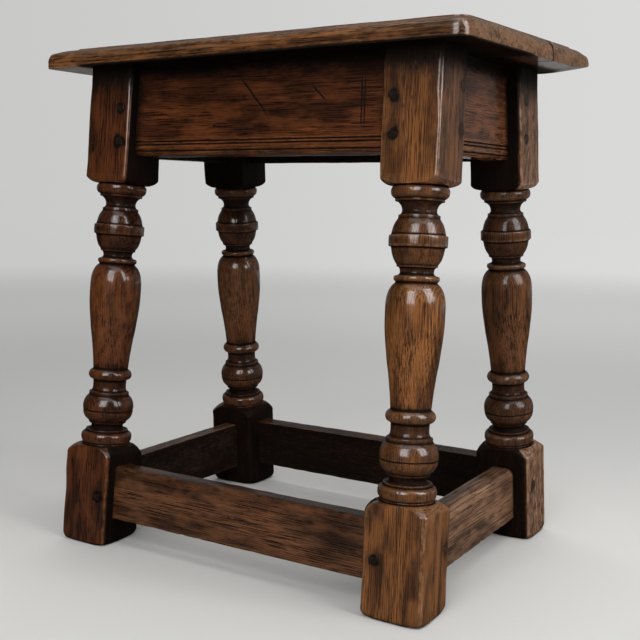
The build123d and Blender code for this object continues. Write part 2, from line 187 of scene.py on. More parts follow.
@dataclass
class Outline:
    """A softened outline with how much it turns at each point.

    Attributes:
        points: (outward, up) places.
        normals: unit vectors away from the wood.
        ridge: 0 to 1, how sharp an outer edge is here.
        crevice: 0 to 1, how sharp an inner corner is here.
    """

    points: Array
    normals: Array
    ridge: Array
    crevice: Array

    FINE_STEP: ClassVar[float] = 0.1
    BEND_WIDTH: ClassVar[float] = 0.8
    FULL_BEND: ClassVar[float] = 0.35

    @classmethod
    def of(cls, path: Array, closed: bool, soft: float, step: float, turn: float) -> "Outline":
        """Softens a path's corners with a bell curve, then keeps points where it runs or turns.

        The wood lies on the left of the path.  A point is kept for each step of length and for each
        turn in degrees, so that flats have few points and mouldings many.  Ridge and crevice are
        radians of turning per millimetre, blurred, as a share of a full bend.

        Args:
            path: corners and curve samples, in millimetres.
            closed: True where the path ends where it starts.
            soft: width of the bell, about a third of the radius that it gives a square corner.
            step: largest distance between kept points.
            turn: degrees of turning that call for one more point.

        Returns:
            The outline.
        """
        path = np.vstack([path, path[:1]]) if closed else path
        mark = along(path)
        marks = np.linspace(0, mark[-1], int(mark[-1] / cls.FINE_STEP) + 1)
        samples = np.stack([np.interp(marks, mark, path[:, i]) for i in (0, 1)], axis=1)
        samples = samples[:-1] if closed else samples
        fine = marks[1]
        smooth = bell(samples, soft, fine, closed)
        if closed:
            tangent = np.roll(smooth, -1, 0) - np.roll(smooth, 1, 0)
        else:
            tangent = np.gradient(smooth, axis=0)
        heading = np.unwrap(np.arctan2(tangent[:, 1], tangent[:, 0]))
        change = np.diff(heading, append=heading[:1] + 2 * np.pi if closed else heading[-1:])
        bend = bell(change, cls.BEND_WIDTH, fine, closed) / fine
        growth = fine / step + np.abs(np.degrees(change)) / turn
        measure = np.concatenate([[0.0], np.cumsum(growth)])
        count = int(measure[-1]) + 1
        wanted = np.linspace(0, measure[-1], count, endpoint=not closed)
        index = np.round(np.interp(wanted, measure, np.arange(len(measure)))).astype(int)
        index = np.unique(np.clip(index, 0, len(smooth) - 1))
        unit = tangent[index] / np.linalg.norm(tangent[index], axis=1)[:, None]
        bend = bend[index] / cls.FULL_BEND
        return cls(smooth[index], np.stack([unit[:, 1], -unit[:, 0]], axis=1),
                   held(bend), held(-bend))


@dataclass(frozen=True)
class Axes:
    """A right-handed set of axes: an origin in millimetres and three unit vectors as rows."""

    origin: Array
    rows: Array

    def place(self, x: Array, y: Array, z: Array) -> Array:
        """Points given along the three axes, as places in the model's frame."""
        local = np.stack(np.broadcast_arrays(x, y, z), axis=-1).astype(float)
        return self.origin + local @ self.rows

    def grain(self, order: Sequence[int]) -> "Axes":
        """The same axes in another cyclic order, the grain's last."""
        return Axes(self.origin, self.rows[list(order)])


# ---- meshes
@dataclass
class Skin:
    """A closed tube of points with a pole at each end, and its painted numbers.

    Attributes:
        points: rows by columns by three, in millimetres; columns run round, rows run along.
        paint: named numbers, one for each point.
    """

    points: Array
    paint: dict[str, Array] = field(default_factory=dict)

    def parts(self) -> tuple[Array, Array, Array, dict[str, Array]]:
        """Takes the tube apart for a mesh, with a fan of triangles at each pole.

        The faces turn over as a whole where the volume inside, the sum of each triangle's box
        product, comes out below 0.

        Returns:
            Vertices, four-sided faces, three-sided faces and paint, with the faces outwards.
        """
        rows, columns = self.points.shape[:2]
        body = self.points.reshape(-1, 3)
        poles = np.stack([self.points[0].mean(0), self.points[-1].mean(0)])
        vertices = np.vstack([body, poles])
        row, column = np.meshgrid(np.arange(rows - 1), np.arange(columns), indexing="ij")
        after = (column + 1) % columns
        quads = np.stack([row * columns + column, row * columns + after,
                          (row + 1) * columns + after, (row + 1) * columns + column], axis=-1)
        quads = quads.reshape(-1, 4)
        ring = np.arange(columns)
        after = (ring + 1) % columns
        last = (rows - 1) * columns
        start_fan = np.stack([after, ring, np.full(columns, rows * columns)], axis=1)
        end_pole = np.full(columns, rows * columns + 1)
        end_fan = np.stack([last + ring, last + after, end_pole], axis=1)
        fans = np.vstack([start_fan, end_fan])
        triangles = np.vstack([quads[:, :3], quads[:, [0, 2, 3]], fans])
        a, b, c = (vertices[triangles[:, i]] - vertices.mean(0) for i in range(3))
        if np.einsum("ij,ij->i", a, np.cross(b, c)).sum() < 0:
            quads, fans = quads[:, ::-1], fans[:, ::-1]
        paint = {}
        for name, value in self.paint.items():
            value = np.broadcast_to(value, (rows, columns))
            paint[name] = np.concatenate([value.ravel(), [value[0].mean(), value[-1].mean()]])
        return vertices, quads, fans, paint


def make_piece(node: str, skins: Sequence[Skin],
               crease: float = 38.0) -> bpy.types.Object:
    """Puts skins into one mesh object, which stands for a node and rides on the body.

    Args:
        node: the CAD node that the piece replaces, and is named for.
        skins: the closed surfaces, in millimetres.
        crease: degrees between faces beyond which an edge shades sharp.

    Returns:
        The new object.
    """
    name = f"{node}_wood"
    vertices, faces, paints, offset = [], [], [], 0
    for skin in skins:
        places, quads, fans, paint = skin.parts()
        vertices.append(places)
        faces += (quads + offset).tolist() + (fans + offset).tolist()
        paints.append(paint)
        offset += len(places)
    mesh = bpy.data.meshes.new(name)
    mesh.from_pydata((np.vstack(vertices) * METRE).tolist(), [], faces)
    for key in paints[0]:
        layer = mesh.attributes.new(key, "FLOAT", "POINT")
        layer.data.foreach_set("value", np.concatenate([p[key] for p in paints]).astype(np.float32))
    mesh.polygons.foreach_set("use_smooth", np.ones(len(mesh.polygons), bool))
    mesh.set_sharp_from_angle(angle=math.radians(crease))
    mesh.update()
    piece = put(name, mesh)
    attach(piece, "root")
    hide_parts(node)
    LOG.info("%s: %d faces for %s", name, len(faces), node)
    return piece


def put(name: str, data: bpy.types.ID) -> bpy.types.Object:
    """Makes an object of the data and puts it in the scene."""
    thing = bpy.data.objects.new(name, data)
    bpy.context.scene.collection.objects.link(thing)
    return thing


# ---- shader sheets
class Sheet:
    """A node tree that lays out its own nodes."""

    ROW = 12
    GRID = (200, -220)

    def __init__(self, tree: bpy.types.NodeTree) -> None:
        """Clears the tree and starts at its left."""
        self.tree, self.count = tree, 0
        tree.nodes.clear()

    def feed(self, node: bpy.types.Node, inputs: Mapping[str | int, object]) -> None:
        """Links or sets a node's inputs.

        Args:
            node: the node.
            inputs: for each input's name or index, a socket to link or a value to set.
        """
        for key, value in inputs.items():
            if isinstance(value, Socket):
                self.tree.links.new(value, node.inputs[key])
            else:
                node.inputs[key].default_value = value

    def add(self, kind: str, inputs: Mapping[str | int, object] | None = None,
            **settings: object) -> bpy.types.Node:
        """Adds a node, sets its properties, and links or sets its inputs.

        Args:
            kind: the shader node's type, without its prefix.
            inputs: as for feed.
            settings: the node's own properties.

        Returns:
            The node.
        """
        node = self.tree.nodes.new(f"ShaderNode{kind}")
        column, row = self.count % self.ROW, self.count // self.ROW
        node.location = (self.GRID[0] * column, self.GRID[1] * row)
        self.count += 1
        for key, value in settings.items():
            setattr(node, key, value)
        self.feed(node, inputs or {})
        return node

    def math(self, operation: str, a: object, b: object = 0.0,
             clamp: bool = False) -> Socket:
        """One sum on two numbers or sockets."""
        return self.add("Math", {0: a, 1: b}, operation=operation, use_clamp=clamp).outputs[0]

    def line(self, value: object, slope: float, start: float) -> Socket:
        """Slope times the value, plus start."""
        return self.add("Math", {0: value, 1: slope, 2: start}, operation="MULTIPLY_ADD").outputs[0]

    def vectors(self, operation: str, a: object, b: object) -> bpy.types.Node:
        """One sum on two vectors."""
        return self.add("VectorMath", {0: a, 1: b}, operation=operation)

    def scaled(self, vector: object, scale: object) -> Socket:
        """A vector times a number."""
        return self.add("VectorMath", {0: vector, "Scale": scale}, operation="SCALE").outputs[0]

    def ramp(self, value: object, low: float, high: float, start: float = 0.0,
             end: float = 1.0) -> Socket:
        """Start below low, end above high, and a smooth step between."""
        limits = {"Value": value, "From Min": low, "From Max": high, "To Min": start, "To Max": end}
        return self.add("MapRange", limits, interpolation_type="SMOOTHSTEP").outputs["Result"]

    def stretch(self, vector: Socket, scale: Sequence[float],
                shift: Sequence[float] = (0.0, 0.0, 0.0)) -> Socket:
        """A vector multiplied and moved."""
        place = {"Vector": vector, "Scale": scale, "Location": shift}
        return self.add("Mapping", place).outputs[0]

    def noise(self, vector: Socket, scale: Sequence[float], detail: float,
              rough: float, shift: float = 0.0) -> Socket:
        """Noise from 0 to 1.

        Args:
            vector: grain space.
            scale: one over the size of a patch along each axis, in millimetres.
            detail: how many finer noises are added.
            rough: strength of each finer noise.
            shift: moves the pattern, so that no two noises are alike.

        Returns:
            The noise.
        """
        place = self.stretch(vector, scale, (shift, shift * 1.7, shift * 0.6))
        pattern = {"Vector": place, "Scale": 1.0, "Detail": detail, "Roughness": rough}
        return self.add("TexNoise", pattern).outputs["Fac"]

    def blend(self, factor: object, a: object, b: object) -> Socket:
        """Colour a where the factor is 0 and colour b where it is 1."""
        return self.add("Mix", {0: factor, 6: a, 7: b}, data_type="RGBA", blend_type="MIX",
                        clamp_factor=True).outputs[2]

    def group(self, tree: bpy.types.NodeTree,
              inputs: Mapping[str, object]) -> dict[str, Socket]:
        """Places a shared group and returns its outputs by name."""
        node = self.add("Group", inputs, node_tree=tree)
        return {socket.name: socket for socket in node.outputs}

    def paint(self, name: str) -> Socket:
        """A number painted on the mesh."""
        return self.add("Attribute", attribute_name=name).outputs["Fac"]


class Group:
    """A shader node group whose outputs are numbers."""

    def __init__(self, name: str, vectors: Sequence[str], numbers: Mapping[str, float],
                 outputs: Sequence[str]) -> None:
        """Starts the group.

        Args:
            name: the group's name.
            vectors: names of its vector inputs.
            numbers: names and first values of its number inputs.
            outputs: names of its outputs.
        """
        self.tree = bpy.data.node_groups.new(name, "ShaderNodeTree")
        new_socket = self.tree.interface.new_socket
        for label in vectors:
            new_socket(label, in_out="INPUT", socket_type="NodeSocketVector")
        for label, value in numbers.items():
            socket = new_socket(label, in_out="INPUT", socket_type="NodeSocketFloat")
            socket.default_value = value
        for label in outputs:
            new_socket(label, in_out="OUTPUT", socket_type="NodeSocketFloat")
        self.sheet = Sheet(self.tree)
        self.given = self.tree.nodes.new("NodeGroupInput").outputs

    def close(self, results: Mapping[str, Socket]) -> bpy.types.NodeTree:
        """Links the results to the outputs and returns the tree."""
        self.sheet.feed(self.tree.nodes.new("NodeGroupOutput"), results)
        return self.tree


class OakTools:
    """The shader groups that every oak finish shares.

    They read grain space: millimetres, with Z along the grain.
    """

    def __init__(self) -> None:
        """Builds the groups once."""
        self.grain = self.make_grain()
        self.wear = self.make_wear()
        self.grime = self.make_grime()
        self.knocks = self.make_knocks()
        self.mark = self.make_mark()

    @staticmethod
    def make_grain() -> bpy.types.NodeTree:
        """Yearly rings about a pith line, long fibres, short dark pores, and slow changes of tone.

        Returns:
            The group.
        """
        group = Group("oak_grain", ["Grain"], {"Ring Spacing": 3.0, "Pore Size": 1.0},
                      ["Rings", "Fibre", "Pores", "Tone"])
        sheet, place = group.sheet, group.given["Grain"]
        spacing = sheet.math("DIVIDE", WAVE_PERIOD, group.given["Ring Spacing"])
        waves = {"Vector": sheet.stretch(place, (1, 1, 0.16)), "Scale": spacing, "Distortion": 4.0,
                 "Detail": 3.0, "Detail Scale": 0.3, "Detail Roughness": 0.55}
        rings = sheet.add("TexWave", waves, wave_type="RINGS", rings_direction="Z",
                          wave_profile="SAW").outputs["Fac"]
        fibre = sheet.noise(place, (1.05, 1.05, 0.022), 3.0, 0.75)
        early = sheet.ramp(rings, 0.42, 0.74, 0.15, 1.0)
        fine = sheet.scaled(place, group.given["Pore Size"])
        dashes = sheet.noise(fine, (1.9, 1.9, 0.085), 1.0, 0.5, 11.0)
        streaks = sheet.noise(fine, (1.5, 1.5, 0.03), 2.0, 0.6, 17.0)
        pores = sheet.math("MAXIMUM", sheet.ramp(dashes, 0.48, 0.58),
                           sheet.ramp(streaks, 0.52, 0.64, 0.0, 0.7))
        tone = sheet.noise(place, (0.045, 0.045, 0.010), 1.0, 0.5, 3.0)
        return group.close({"Rings": rings, "Fibre": fibre,
                            "Pores": sheet.math("MULTIPLY", pores, early), "Tone": tone})

    @staticmethod
    def make_wear() -> bpy.types.NodeTree:
        """Painted wear and painted light broken up by patchy noise, so that an arris is rubbed here
        and there.

        Returns:
            The group.
        """
        group = Group("wear_and_light", ["Grain"], {"Painted": 0.0, "Amount": 1.0}, ["Rubbed"])
        sheet = group.sheet
        patch = sheet.noise(group.given["Grain"], (0.22, 0.22, 0.10), 5.0, 0.65, 5.0)
        strength = sheet.math("MULTIPLY", group.given["Painted"],
                              sheet.ramp(patch, 0.36, 0.68, 0.1, 1.4))
        return group.close({"Rubbed": sheet.math("MULTIPLY", strength, group.given["Amount"],
                                                 clamp=True)})

    @staticmethod
    def make_grime() -> bpy.types.NodeTree:
        """Dirt and painted shade, ragged at the edge; cloudy old wax; where the wax is dull or
        glossy.

        Returns:
            The group.
        """
        group = Group("old_wax_and_shade", ["Grain"], {"Painted": 0.0}, ["Grime", "Cloud", "Dull", "Gloss"])
        sheet, place = group.sheet, group.given["Grain"]
        ragged = sheet.noise(place, (0.35, 0.35, 0.2), 4.0, 0.6, 9.0)
        lifted = sheet.math("ADD", group.given["Painted"],
                            sheet.ramp(ragged, 0.25, 0.75, -0.16, 0.16))
        grime = sheet.ramp(lifted, 0.08, 0.95)
        cloud = sheet.noise(place, (0.09, 0.09, 0.03), 3.0, 0.55, 21.0)
        smear = sheet.noise(place, (0.5, 0.5, 0.07), 3.0, 0.6, 2.0)
        dull = sheet.math("ADD", sheet.math("MULTIPLY", smear, 0.5),
                          sheet.math("MULTIPLY", grime, 0.6))
        gloss = sheet.math("MULTIPLY", sheet.math("SUBTRACT", 1.0, grime),
                           sheet.ramp(smear, 0.36, 0.58, 0.68, 1.0))
        return group.close({"Grime": grime, "Cloud": cloud, "Dull": dull, "Gloss": gloss})

    @staticmethod
    def make_knocks() -> bpy.types.NodeTree:
        """Small old knocks and chips: scattered dots that sink the surface and hold dirt.

        Returns:
            The group.
        """
        group = Group("old_knocks", ["Grain"], {"Spread": 0.06}, ["Depth"])
        sheet, place = group.sheet, group.given["Grain"]
        wobble = sheet.noise(place, (0.6, 0.6, 0.6), 2.0, 0.5, 4.0)
        moved = sheet.vectors("ADD", place, wobble).outputs[0]
        dots = {"Vector": sheet.stretch(moved, (1.0, 1.0, 0.55)), "Scale": group.given["Spread"],
                "Randomness": 1.0}
        cells = sheet.add("TexVoronoi", dots, feature="F1")
        chosen = sheet.noise(place, (0.03, 0.03, 0.03), 1.0, 0.5, 15.0)
        limit = sheet.ramp(chosen, 0.45, 0.7, 0.0, 0.14)
        depth = sheet.math("SUBTRACT", limit, cells.outputs["Distance"])
        return group.close({"Depth": sheet.ramp(depth, 0.0, 0.08)})

    @staticmethod
    def make_mark() -> bpy.types.NodeTree:
        """One knife cut or scribed line: nearness to a wavering stretch between two points.

        The first axis of grain space, across the board's thickness, is left out.

        Returns:
            The group.
        """
        group = Group("knife_mark", ["Grain", "Start", "Finish"], {"Width": 0.6}, ["Cut"])
        sheet, given = group.sheet, group.given
        waver = sheet.noise(given["Grain"], (0.12, 0.12, 0.12), 3.0, 0.6, 6.0)
        place = sheet.vectors("ADD", given["Grain"], waver).outputs[0]
        place = sheet.stretch(place, (0, 1, 1))
        reach = sheet.vectors("SUBTRACT", place, given["Start"]).outputs[0]
        span = sheet.vectors("SUBTRACT", given["Finish"], given["Start"]).outputs[0]
        share = sheet.math("DIVIDE", sheet.vectors("DOT_PRODUCT", reach, span).outputs["Value"],
                           sheet.vectors("DOT_PRODUCT", span, span).outputs["Value"], clamp=True)
        far = sheet.vectors("DISTANCE", reach, sheet.scaled(span, share)).outputs["Value"]
        near = sheet.math("DIVIDE", far, given["Width"])
        taper = sheet.math("MULTIPLY", sheet.ramp(share, 0.0, 0.2, 0.3, 1.0),
                           sheet.ramp(share, 0.75, 1.0, 1.0, 0.3))
        cut = sheet.math("MULTIPLY", sheet.ramp(near, 0.4, 1.0, 1.0, 0.0), taper)
        return group.close({"Cut": cut})


class Cut(Enum):
    """How a piece was sawn, which sets where the pith lies beside it in grain space."""

    FLAT = (4.0, 62.0)
    QUARTER = (70.0, 9.0)
    SLANT = (46.0, 48.0)


@dataclass(frozen=True)
class KnifeMark:
    """A cut across a piece, from one place to another in the model's frame, in millimetres."""

    start: tuple[float, float, float]
    finish: tuple[float, float, float]
    width: float = 1.0


@dataclass(frozen=True)
class OakFinish:
    """A waxed oak finish.

    Attributes:
        deep: colour of the dark bands, as linear red, green and blue.
        warm: colour of the light bands.
        rubbed: colour where hands and feet have worn the wax thin, and of painted light on lit
            sides and arrises.
        soot_and_shade: colour of pores, packed dirt and painted shade.
        figure: how strongly rings and fibres show.
        polish: how much smoother rubbed wood is.
        shine: strength of the reflection, 0.5 for plain wax.
        coat: weight of the wax film where it is clean.
        coat_ior: of the film, which sets how bright its highlights are.
        ring_spacing: between yearly rings, in millimetres.
        pore_size: larger numbers make finer pores.

    The covers say how fully a layer hides what lies under it where its mask is 1.
    """

    name: str
    deep: tuple[float, float, float]
    warm: tuple[float, float, float]
    rubbed: tuple[float, float, float]
    soot_and_shade: tuple[float, float, float] = (0.0045, 0.0024, 0.0015)
    figure: float = 1.0
    pores: float = 0.62
    wear: float = 1.0
    roughness: float = 0.32
    polish: float = 0.12
    shine: float = 0.1
    coat: float = 0.85
    coat_roughness: float = 0.175
    coat_ior: float = 1.8
    ring_spacing: float = 1.9
    pore_size: float = 1.0
    bump: float = 0.6

    RUB_AND_LIGHT_COVER: ClassVar[float] = 0.85
    KNOCK_COVER: ClassVar[float] = 0.92
    DIRT_AND_SHADE_COVER: ClassVar[float] = 0.96
    RELIEF: ClassVar[float] = 0.0005
    DRIFT: ClassVar[tuple[tuple[float, ...], ...]] = ((-6, -6, 0), (6, 6, 900))

    def dress(self, piece: bpy.types.Object, tools: OakTools, axes: Axes, cut: Cut, seed: int,
              marks: Sequence[KnifeMark] = ()) -> None:
        """Gives a piece its own material, with the grain along the last of its axes.

        Grain space is the place turned to the piece's axes, in millimetres, moved to where the
        piece was cut from the tree and then a little way off by the seed.

        Args:
            piece: the object.
            tools: the shared groups.
            axes: the piece's axes in the model's frame, the grain's last.
            cut: how it was sawn.
            seed: moves the pattern, so that no two pieces are alike.
            marks: old knife cuts on this piece.
        """
        material = bpy.data.materials.new(f"{self.name}_{piece.name}")
        material.use_nodes = True
        sheet = Sheet(material.node_tree)
        drift = np.random.default_rng(seed).uniform(*self.DRIFT)
        start = np.array([*cut.value, 0.0]) + drift - axes.rows @ axes.origin
        placing = {"Vector": sheet.add("TexCoord").outputs["Object"], "Location": tuple(start),
                   "Rotation": Matrix(axes.rows.tolist()).to_euler("XYZ"),
                   "Scale": (1 / METRE,) * 3}
        place = sheet.add("Mapping", placing).outputs[0]
        worn = sheet.paint("wear")
        grain = sheet.group(tools.grain, {"Grain": place, "Ring Spacing": self.ring_spacing,
                                          "Pore Size": self.pore_size})
        rubbed = sheet.group(tools.wear, {"Grain": place, "Painted": worn, "Amount": self.wear})
        wax = sheet.group(tools.grime, {"Grain": place, "Painted": sheet.paint("grime")})
        knocks = sheet.group(tools.knocks, {"Grain": place})["Depth"]
        for mark in marks:
            first, last = (tuple((axes.rows @ np.array(point) + start) * (0, 1, 1))
                           for point in (mark.start, mark.finish))
            line = sheet.group(tools.mark, {"Grain": place, "Start": first, "Finish": last,
                                            "Width": mark.width})
            knocks = sheet.math("MAXIMUM", knocks, line["Cut"])
        shader = sheet.add("BsdfPrincipled", {
            "Base Color": self.colour(sheet, grain, wax, rubbed["Rubbed"], knocks),
            "Roughness": self.dullness(sheet, grain, wax, worn),
            "Specular IOR Level": self.shine,
            "Coat Weight": self.film(sheet, grain, wax),
            "Coat Roughness": self.coat_roughness,
            "Coat IOR": self.coat_ior,
            "Normal": self.relief(sheet, grain, knocks)})
        sheet.add("OutputMaterial", {"Surface": shader.outputs[0]})
        piece.data.materials.clear()
        piece.data.materials.append(material)

    def colour(self, sheet: Sheet, grain: Sockets, wax: Sockets, rubbed: Socket,
               knocks: Socket) -> Socket:
        """Colour from deep to warm with the rings and fibres, under the finish's other layers.

        These are, from the lowest up: slow dark tone, clouds of pale wax, painted stains and
        painted shade, rubbed wood and painted light, pores, knocks, and dirt with painted shade.

        Args:
            sheet: the material's sheet.
            grain: outputs of the grain group.
            wax: outputs of the old wax group.
            rubbed: where the wax is worn thin, and where light is painted.
            knocks: where the surface is sunk.

        Returns:
            The colour.
        """
        deep, warm, worn, soot_and_shade = ((*c, 1) for c in (self.deep, self.warm, self.rubbed, self.soot_and_shade))
        bands = sheet.math("ADD", sheet.ramp(grain["Rings"], 0.1, 0.95, 0.64, 0.0),
                           sheet.ramp(grain["Fibre"], 0.435, 0.565, -0.46, 0.96))
        bands = sheet.math("MULTIPLY", bands, self.figure, clamp=True)
        patchy = sheet.ramp(wax["Cloud"], 0.36, 0.6, 1.0, 0.7)
        layers = (
            (sheet.ramp(grain["Tone"], 0.36, 0.60, 0.72, 0.0), deep),
            (sheet.ramp(wax["Cloud"], 0.45, 0.66, 0.0, 0.6), warm),
            # The stain paint holds real stains and painted shade.
            (sheet.math("MULTIPLY", sheet.paint("stain_and_shade"), patchy), deep),
            # The wear paint also holds painted light and painted highlights.
            (sheet.math("MULTIPLY", rubbed, self.RUB_AND_LIGHT_COVER), worn),
            (sheet.math("MULTIPLY", grain["Pores"], self.pores), soot_and_shade),
            (sheet.math("MULTIPLY", knocks, self.KNOCK_COVER), soot_and_shade),
            # The dirt paint also holds painted shade, which darkens towards soot_and_shade.
            (sheet.math("MULTIPLY", wax["Grime"], self.DIRT_AND_SHADE_COVER), soot_and_shade))
        colour = sheet.blend(bands, deep, warm)
        for cover, tint in layers:
            colour = sheet.blend(cover, colour, tint)
        return colour

    def dullness(self, sheet: Sheet, grain: Sockets, wax: Sockets, worn: Socket) -> Socket:
        """Roughness of the wood, more where the wax is dull and in pores, less where it is worn.

        Args:
            sheet: the material's sheet.
            grain: outputs of the grain group.
            wax: outputs of the old wax group.
            worn: the painted wear.

        Returns:
            The roughness.
        """
        rough = sheet.line(wax["Dull"], 0.34, self.roughness - 0.08)
        rough = sheet.math("ADD", rough, sheet.math("MULTIPLY", grain["Pores"], 0.22))
        polished = sheet.math("MULTIPLY", worn, self.polish)
        return sheet.math("SUBTRACT", rough, polished, clamp=True)

    def film(self, sheet: Sheet, grain: Sockets, wax: Sockets) -> Socket:
        """Weight of the clear wax film, a fifth thinner over pores."""
        thinner = sheet.math("MULTIPLY", wax["Gloss"], sheet.math("MULTIPLY", grain["Pores"], -0.2))
        film = sheet.math("ADD", thinner, wax["Gloss"])
        return sheet.math("MULTIPLY", film, self.coat, clamp=True)

    def relief(self, sheet: Sheet, grain: Sockets, knocks: Socket) -> Socket:
        """Normals from a height that pores and knocks lower and fibres raise.

        Args:
            sheet: the material's sheet.
            grain: outputs of the grain group.
            knocks: where the surface is sunk.

        Returns:
            The normals.
        """
        height = sheet.line(grain["Pores"], -0.7, 1.0)
        height = sheet.math("ADD", height, sheet.math("MULTIPLY", grain["Fibre"], 0.45))
        height = sheet.math("SUBTRACT", height, sheet.math("MULTIPLY", knocks, 1.2))
        bump = {"Strength": self.bump, "Distance": self.RELIEF, "Height": height}
        return sheet.add("Bump", bump).outputs[0]


class Part:
    """A part of the stool, which knows its node, how to build itself and how its grain lies.

    Attributes:
        slot: the record's material slot.
        cut: how it was sawn.
        marks: old knife cuts on it.
    """

    slot = ""
    cut = Cut.QUARTER
    marks: tuple[KnifeMark, ...] = ()

    def dress(self, finish: OakFinish, tools: OakTools) -> bpy.types.Object:
        """Makes the piece and gives it its finish.

        Args:
            finish: the part's finish.
            tools: the shared groups.

        Returns:
            The piece.
        """
        piece = make_piece(self.node, self.build())
        finish.dress(piece, tools, self.grain, self.cut, self.seed, self.marks)
        return piece


# ---- the stool's sizes
class Side(Enum):
    """Left or right of the stool, as seen from the front."""

    LEFT = -1
    RIGHT = 1


class End(Enum):
    """Front or rear of the stool."""

    FRONT = -1
    REAR = 1


@dataclass(frozen=True)
class StoolSizes:
    """Sizes that the pieces share, as in the model.

    Attributes:
        span_x: between the legs' middle lines on the floor, along the seat.
        lean_x: degrees that the side frames lean in.
        lean_y: degrees that the long frames lean in.
        rail_inset: from a leg's face back to a rail's.
        side_stretcher_drop: how much lower the side stretchers are than the long ones.
        tenon_set: from the rail's face back to the tenon.
        upper_growth: how much wider the upper block is on its inner and on its outer side.
        upper_fade: height over which that growth fades.
    """

    square: float = 52.0
    span_x: float = 354.0
    span_y: float = 260.0
    lean_x: float = 1.15
    lean_y: float = 5.05
    frame_height: float = 482.0
    upper_block: float = 114.5
    lower_block: float = 98.5
    rail_inset: float = 12.0
    rail_thickness: float = 22.0
    apron_depth: float = 89.0
    stretcher_depth: float = 54.0
    stretcher_clearance: float = 26.0
    side_stretcher_drop: float = 3.5
    tenon_length: float = 23.0
    tenon_thickness: float = 9.0
    tenon_set: float = 7.0
    seat_thickness: float = 21.5
    upper_growth: tuple[float, float] = (1.5, 1.5)
    lower_growth: tuple[float, float] = (2.2, 4.5)
    upper_fade: float = 5.0
    lower_fade: float = 7.0

    def growth(self, height: Array, outward: Array) -> Array:
        """How much a block's half width along the seat exceeds half its square.

        Args:
            height: up the leg.
            outward: True on the side away from the stool's middle.

        Returns:
            Millimetres for each height, 0 along the turning and fading over the shoulders.
        """
        low = held((self.lower_block - height) / self.lower_fade)
        high = held((height - self.frame_height + self.upper_block) / self.upper_fade)
        inner, outer = (low * lower + high * upper
                        for lower, upper in zip(self.lower_growth, self.upper_growth))
        return np.where(outward, outer, inner)

    @property
    def half(self) -> float:
        """Half the square section of a leg."""
        return self.square / 2

    @property
    def turning_top(self) -> float:
        """Height at which the upper block starts."""
        return self.frame_height - self.upper_block

    def frame_axes(self, where: Side | End) -> Axes:
        """Axes of the frame at one side or end of the stool.

        Args:
            where: the side or end.

        Returns:
            Z up the lean, from the floor between the feet, and X along the rails: to the right, or
            towards the front in a side frame.
        """
        sideways = isinstance(where, Side)
        lean = math.radians(self.lean_x if sideways else self.lean_y)
        away = np.array([where.value, 0, 0] if sideways else [0, where.value, 0])
        x = np.array([0, -1.0, 0] if sideways else [1.0, 0, 0])
        up = np.array([0, 0, math.cos(lean)]) - away * math.sin(lean)
        origin = away * (self.span_x if sideways else self.span_y) / 2
        return Axes(origin, np.stack([x, np.cross(up, x), up]))

    def leg_axes(self, side: Side, end: End) -> Axes:
        """Axes of a leg, which leans with both of its frames.

        Args:
            side: left or right.
            end: front or rear.

        Returns:
            Z up the leg's middle line from the floor, X and Y across its faces.
        """
        lean = math.radians(self.lean_x)
        x, y, z = self.frame_axes(end).rows
        axis = z * math.cos(lean) - x * side.value * math.sin(lean)
        across = x * math.cos(lean) + z * side.value * math.sin(lean)
        origin = np.array([side.value * self.span_x / 2, end.value * self.span_y / 2, 0])
        return Axes(origin, np.stack([across, y, axis]))


SIZES = StoolSizes()
LONG_PEG_SET = 11.0
SIDE_PEG_SET = {End.FRONT: 9.0, End.REAR: 15.0}
APRON_PEG_DROPS = {False: (41.0, 74.0), True: (28.0, 66.0)}
STRETCHER_PEG_RISE = {False: 23.0, True: 36.0}


@dataclass(frozen=True)
class PegPlace:
    """Where a peg enters a leg.

    Attributes:
        sideways: True on the leg's outer side face, False on its front or rear face.
        shoulder: from the rail's shoulder.
    """

    side: Side
    end: End
    sideways: bool
    height: float
    shoulder: float

    def axes(self) -> Axes:
        """Axes of the peg, which follows its block's growth.

        Returns:
            Z out of the leg, from the middle of the peg's head.
        """
        leg = SIZES.leg_axes(self.side, self.end)
        s, e = self.side.value, self.end.value
        inset = SIZES.half - self.shoulder
        if self.sideways:
            outer = SIZES.half + float(SIZES.growth(self.height, True))
            local = np.array([s * outer, -e * inset, self.height])
            outward = leg.rows[0] * s
        else:
            spread = 1 + float(SIZES.growth(self.height, False)) / SIZES.half
            local = np.array([-s * inset * spread, e * SIZES.half, self.height])
            outward = leg.rows[1] * e
        up = leg.rows[2]
        return Axes(leg.origin + local @ leg.rows, np.stack([up, np.cross(outward, up), outward]))


def peg_places(side: Side, end: End) -> tuple[list[PegPlace], list[PegPlace]]:
    """Places of a leg's pegs.

    Args:
        side: of the leg.
        end: of the leg.

    Returns:
        The four apron pegs and the two stretcher pegs.
    """
    upper, lower = [], []
    for sideways in (False, True):
        inset = SIDE_PEG_SET[end] if sideways else LONG_PEG_SET
        low = SIZES.stretcher_clearance - (SIZES.side_stretcher_drop if sideways else 0.0)
        upper += [PegPlace(side, end, sideways, SIZES.frame_height - drop, inset)
                  for drop in APRON_PEG_DROPS[sideways]]
        lower.append(PegPlace(side, end, sideways, low + STRETCHER_PEG_RISE[sideways], inset))
    return upper, lower


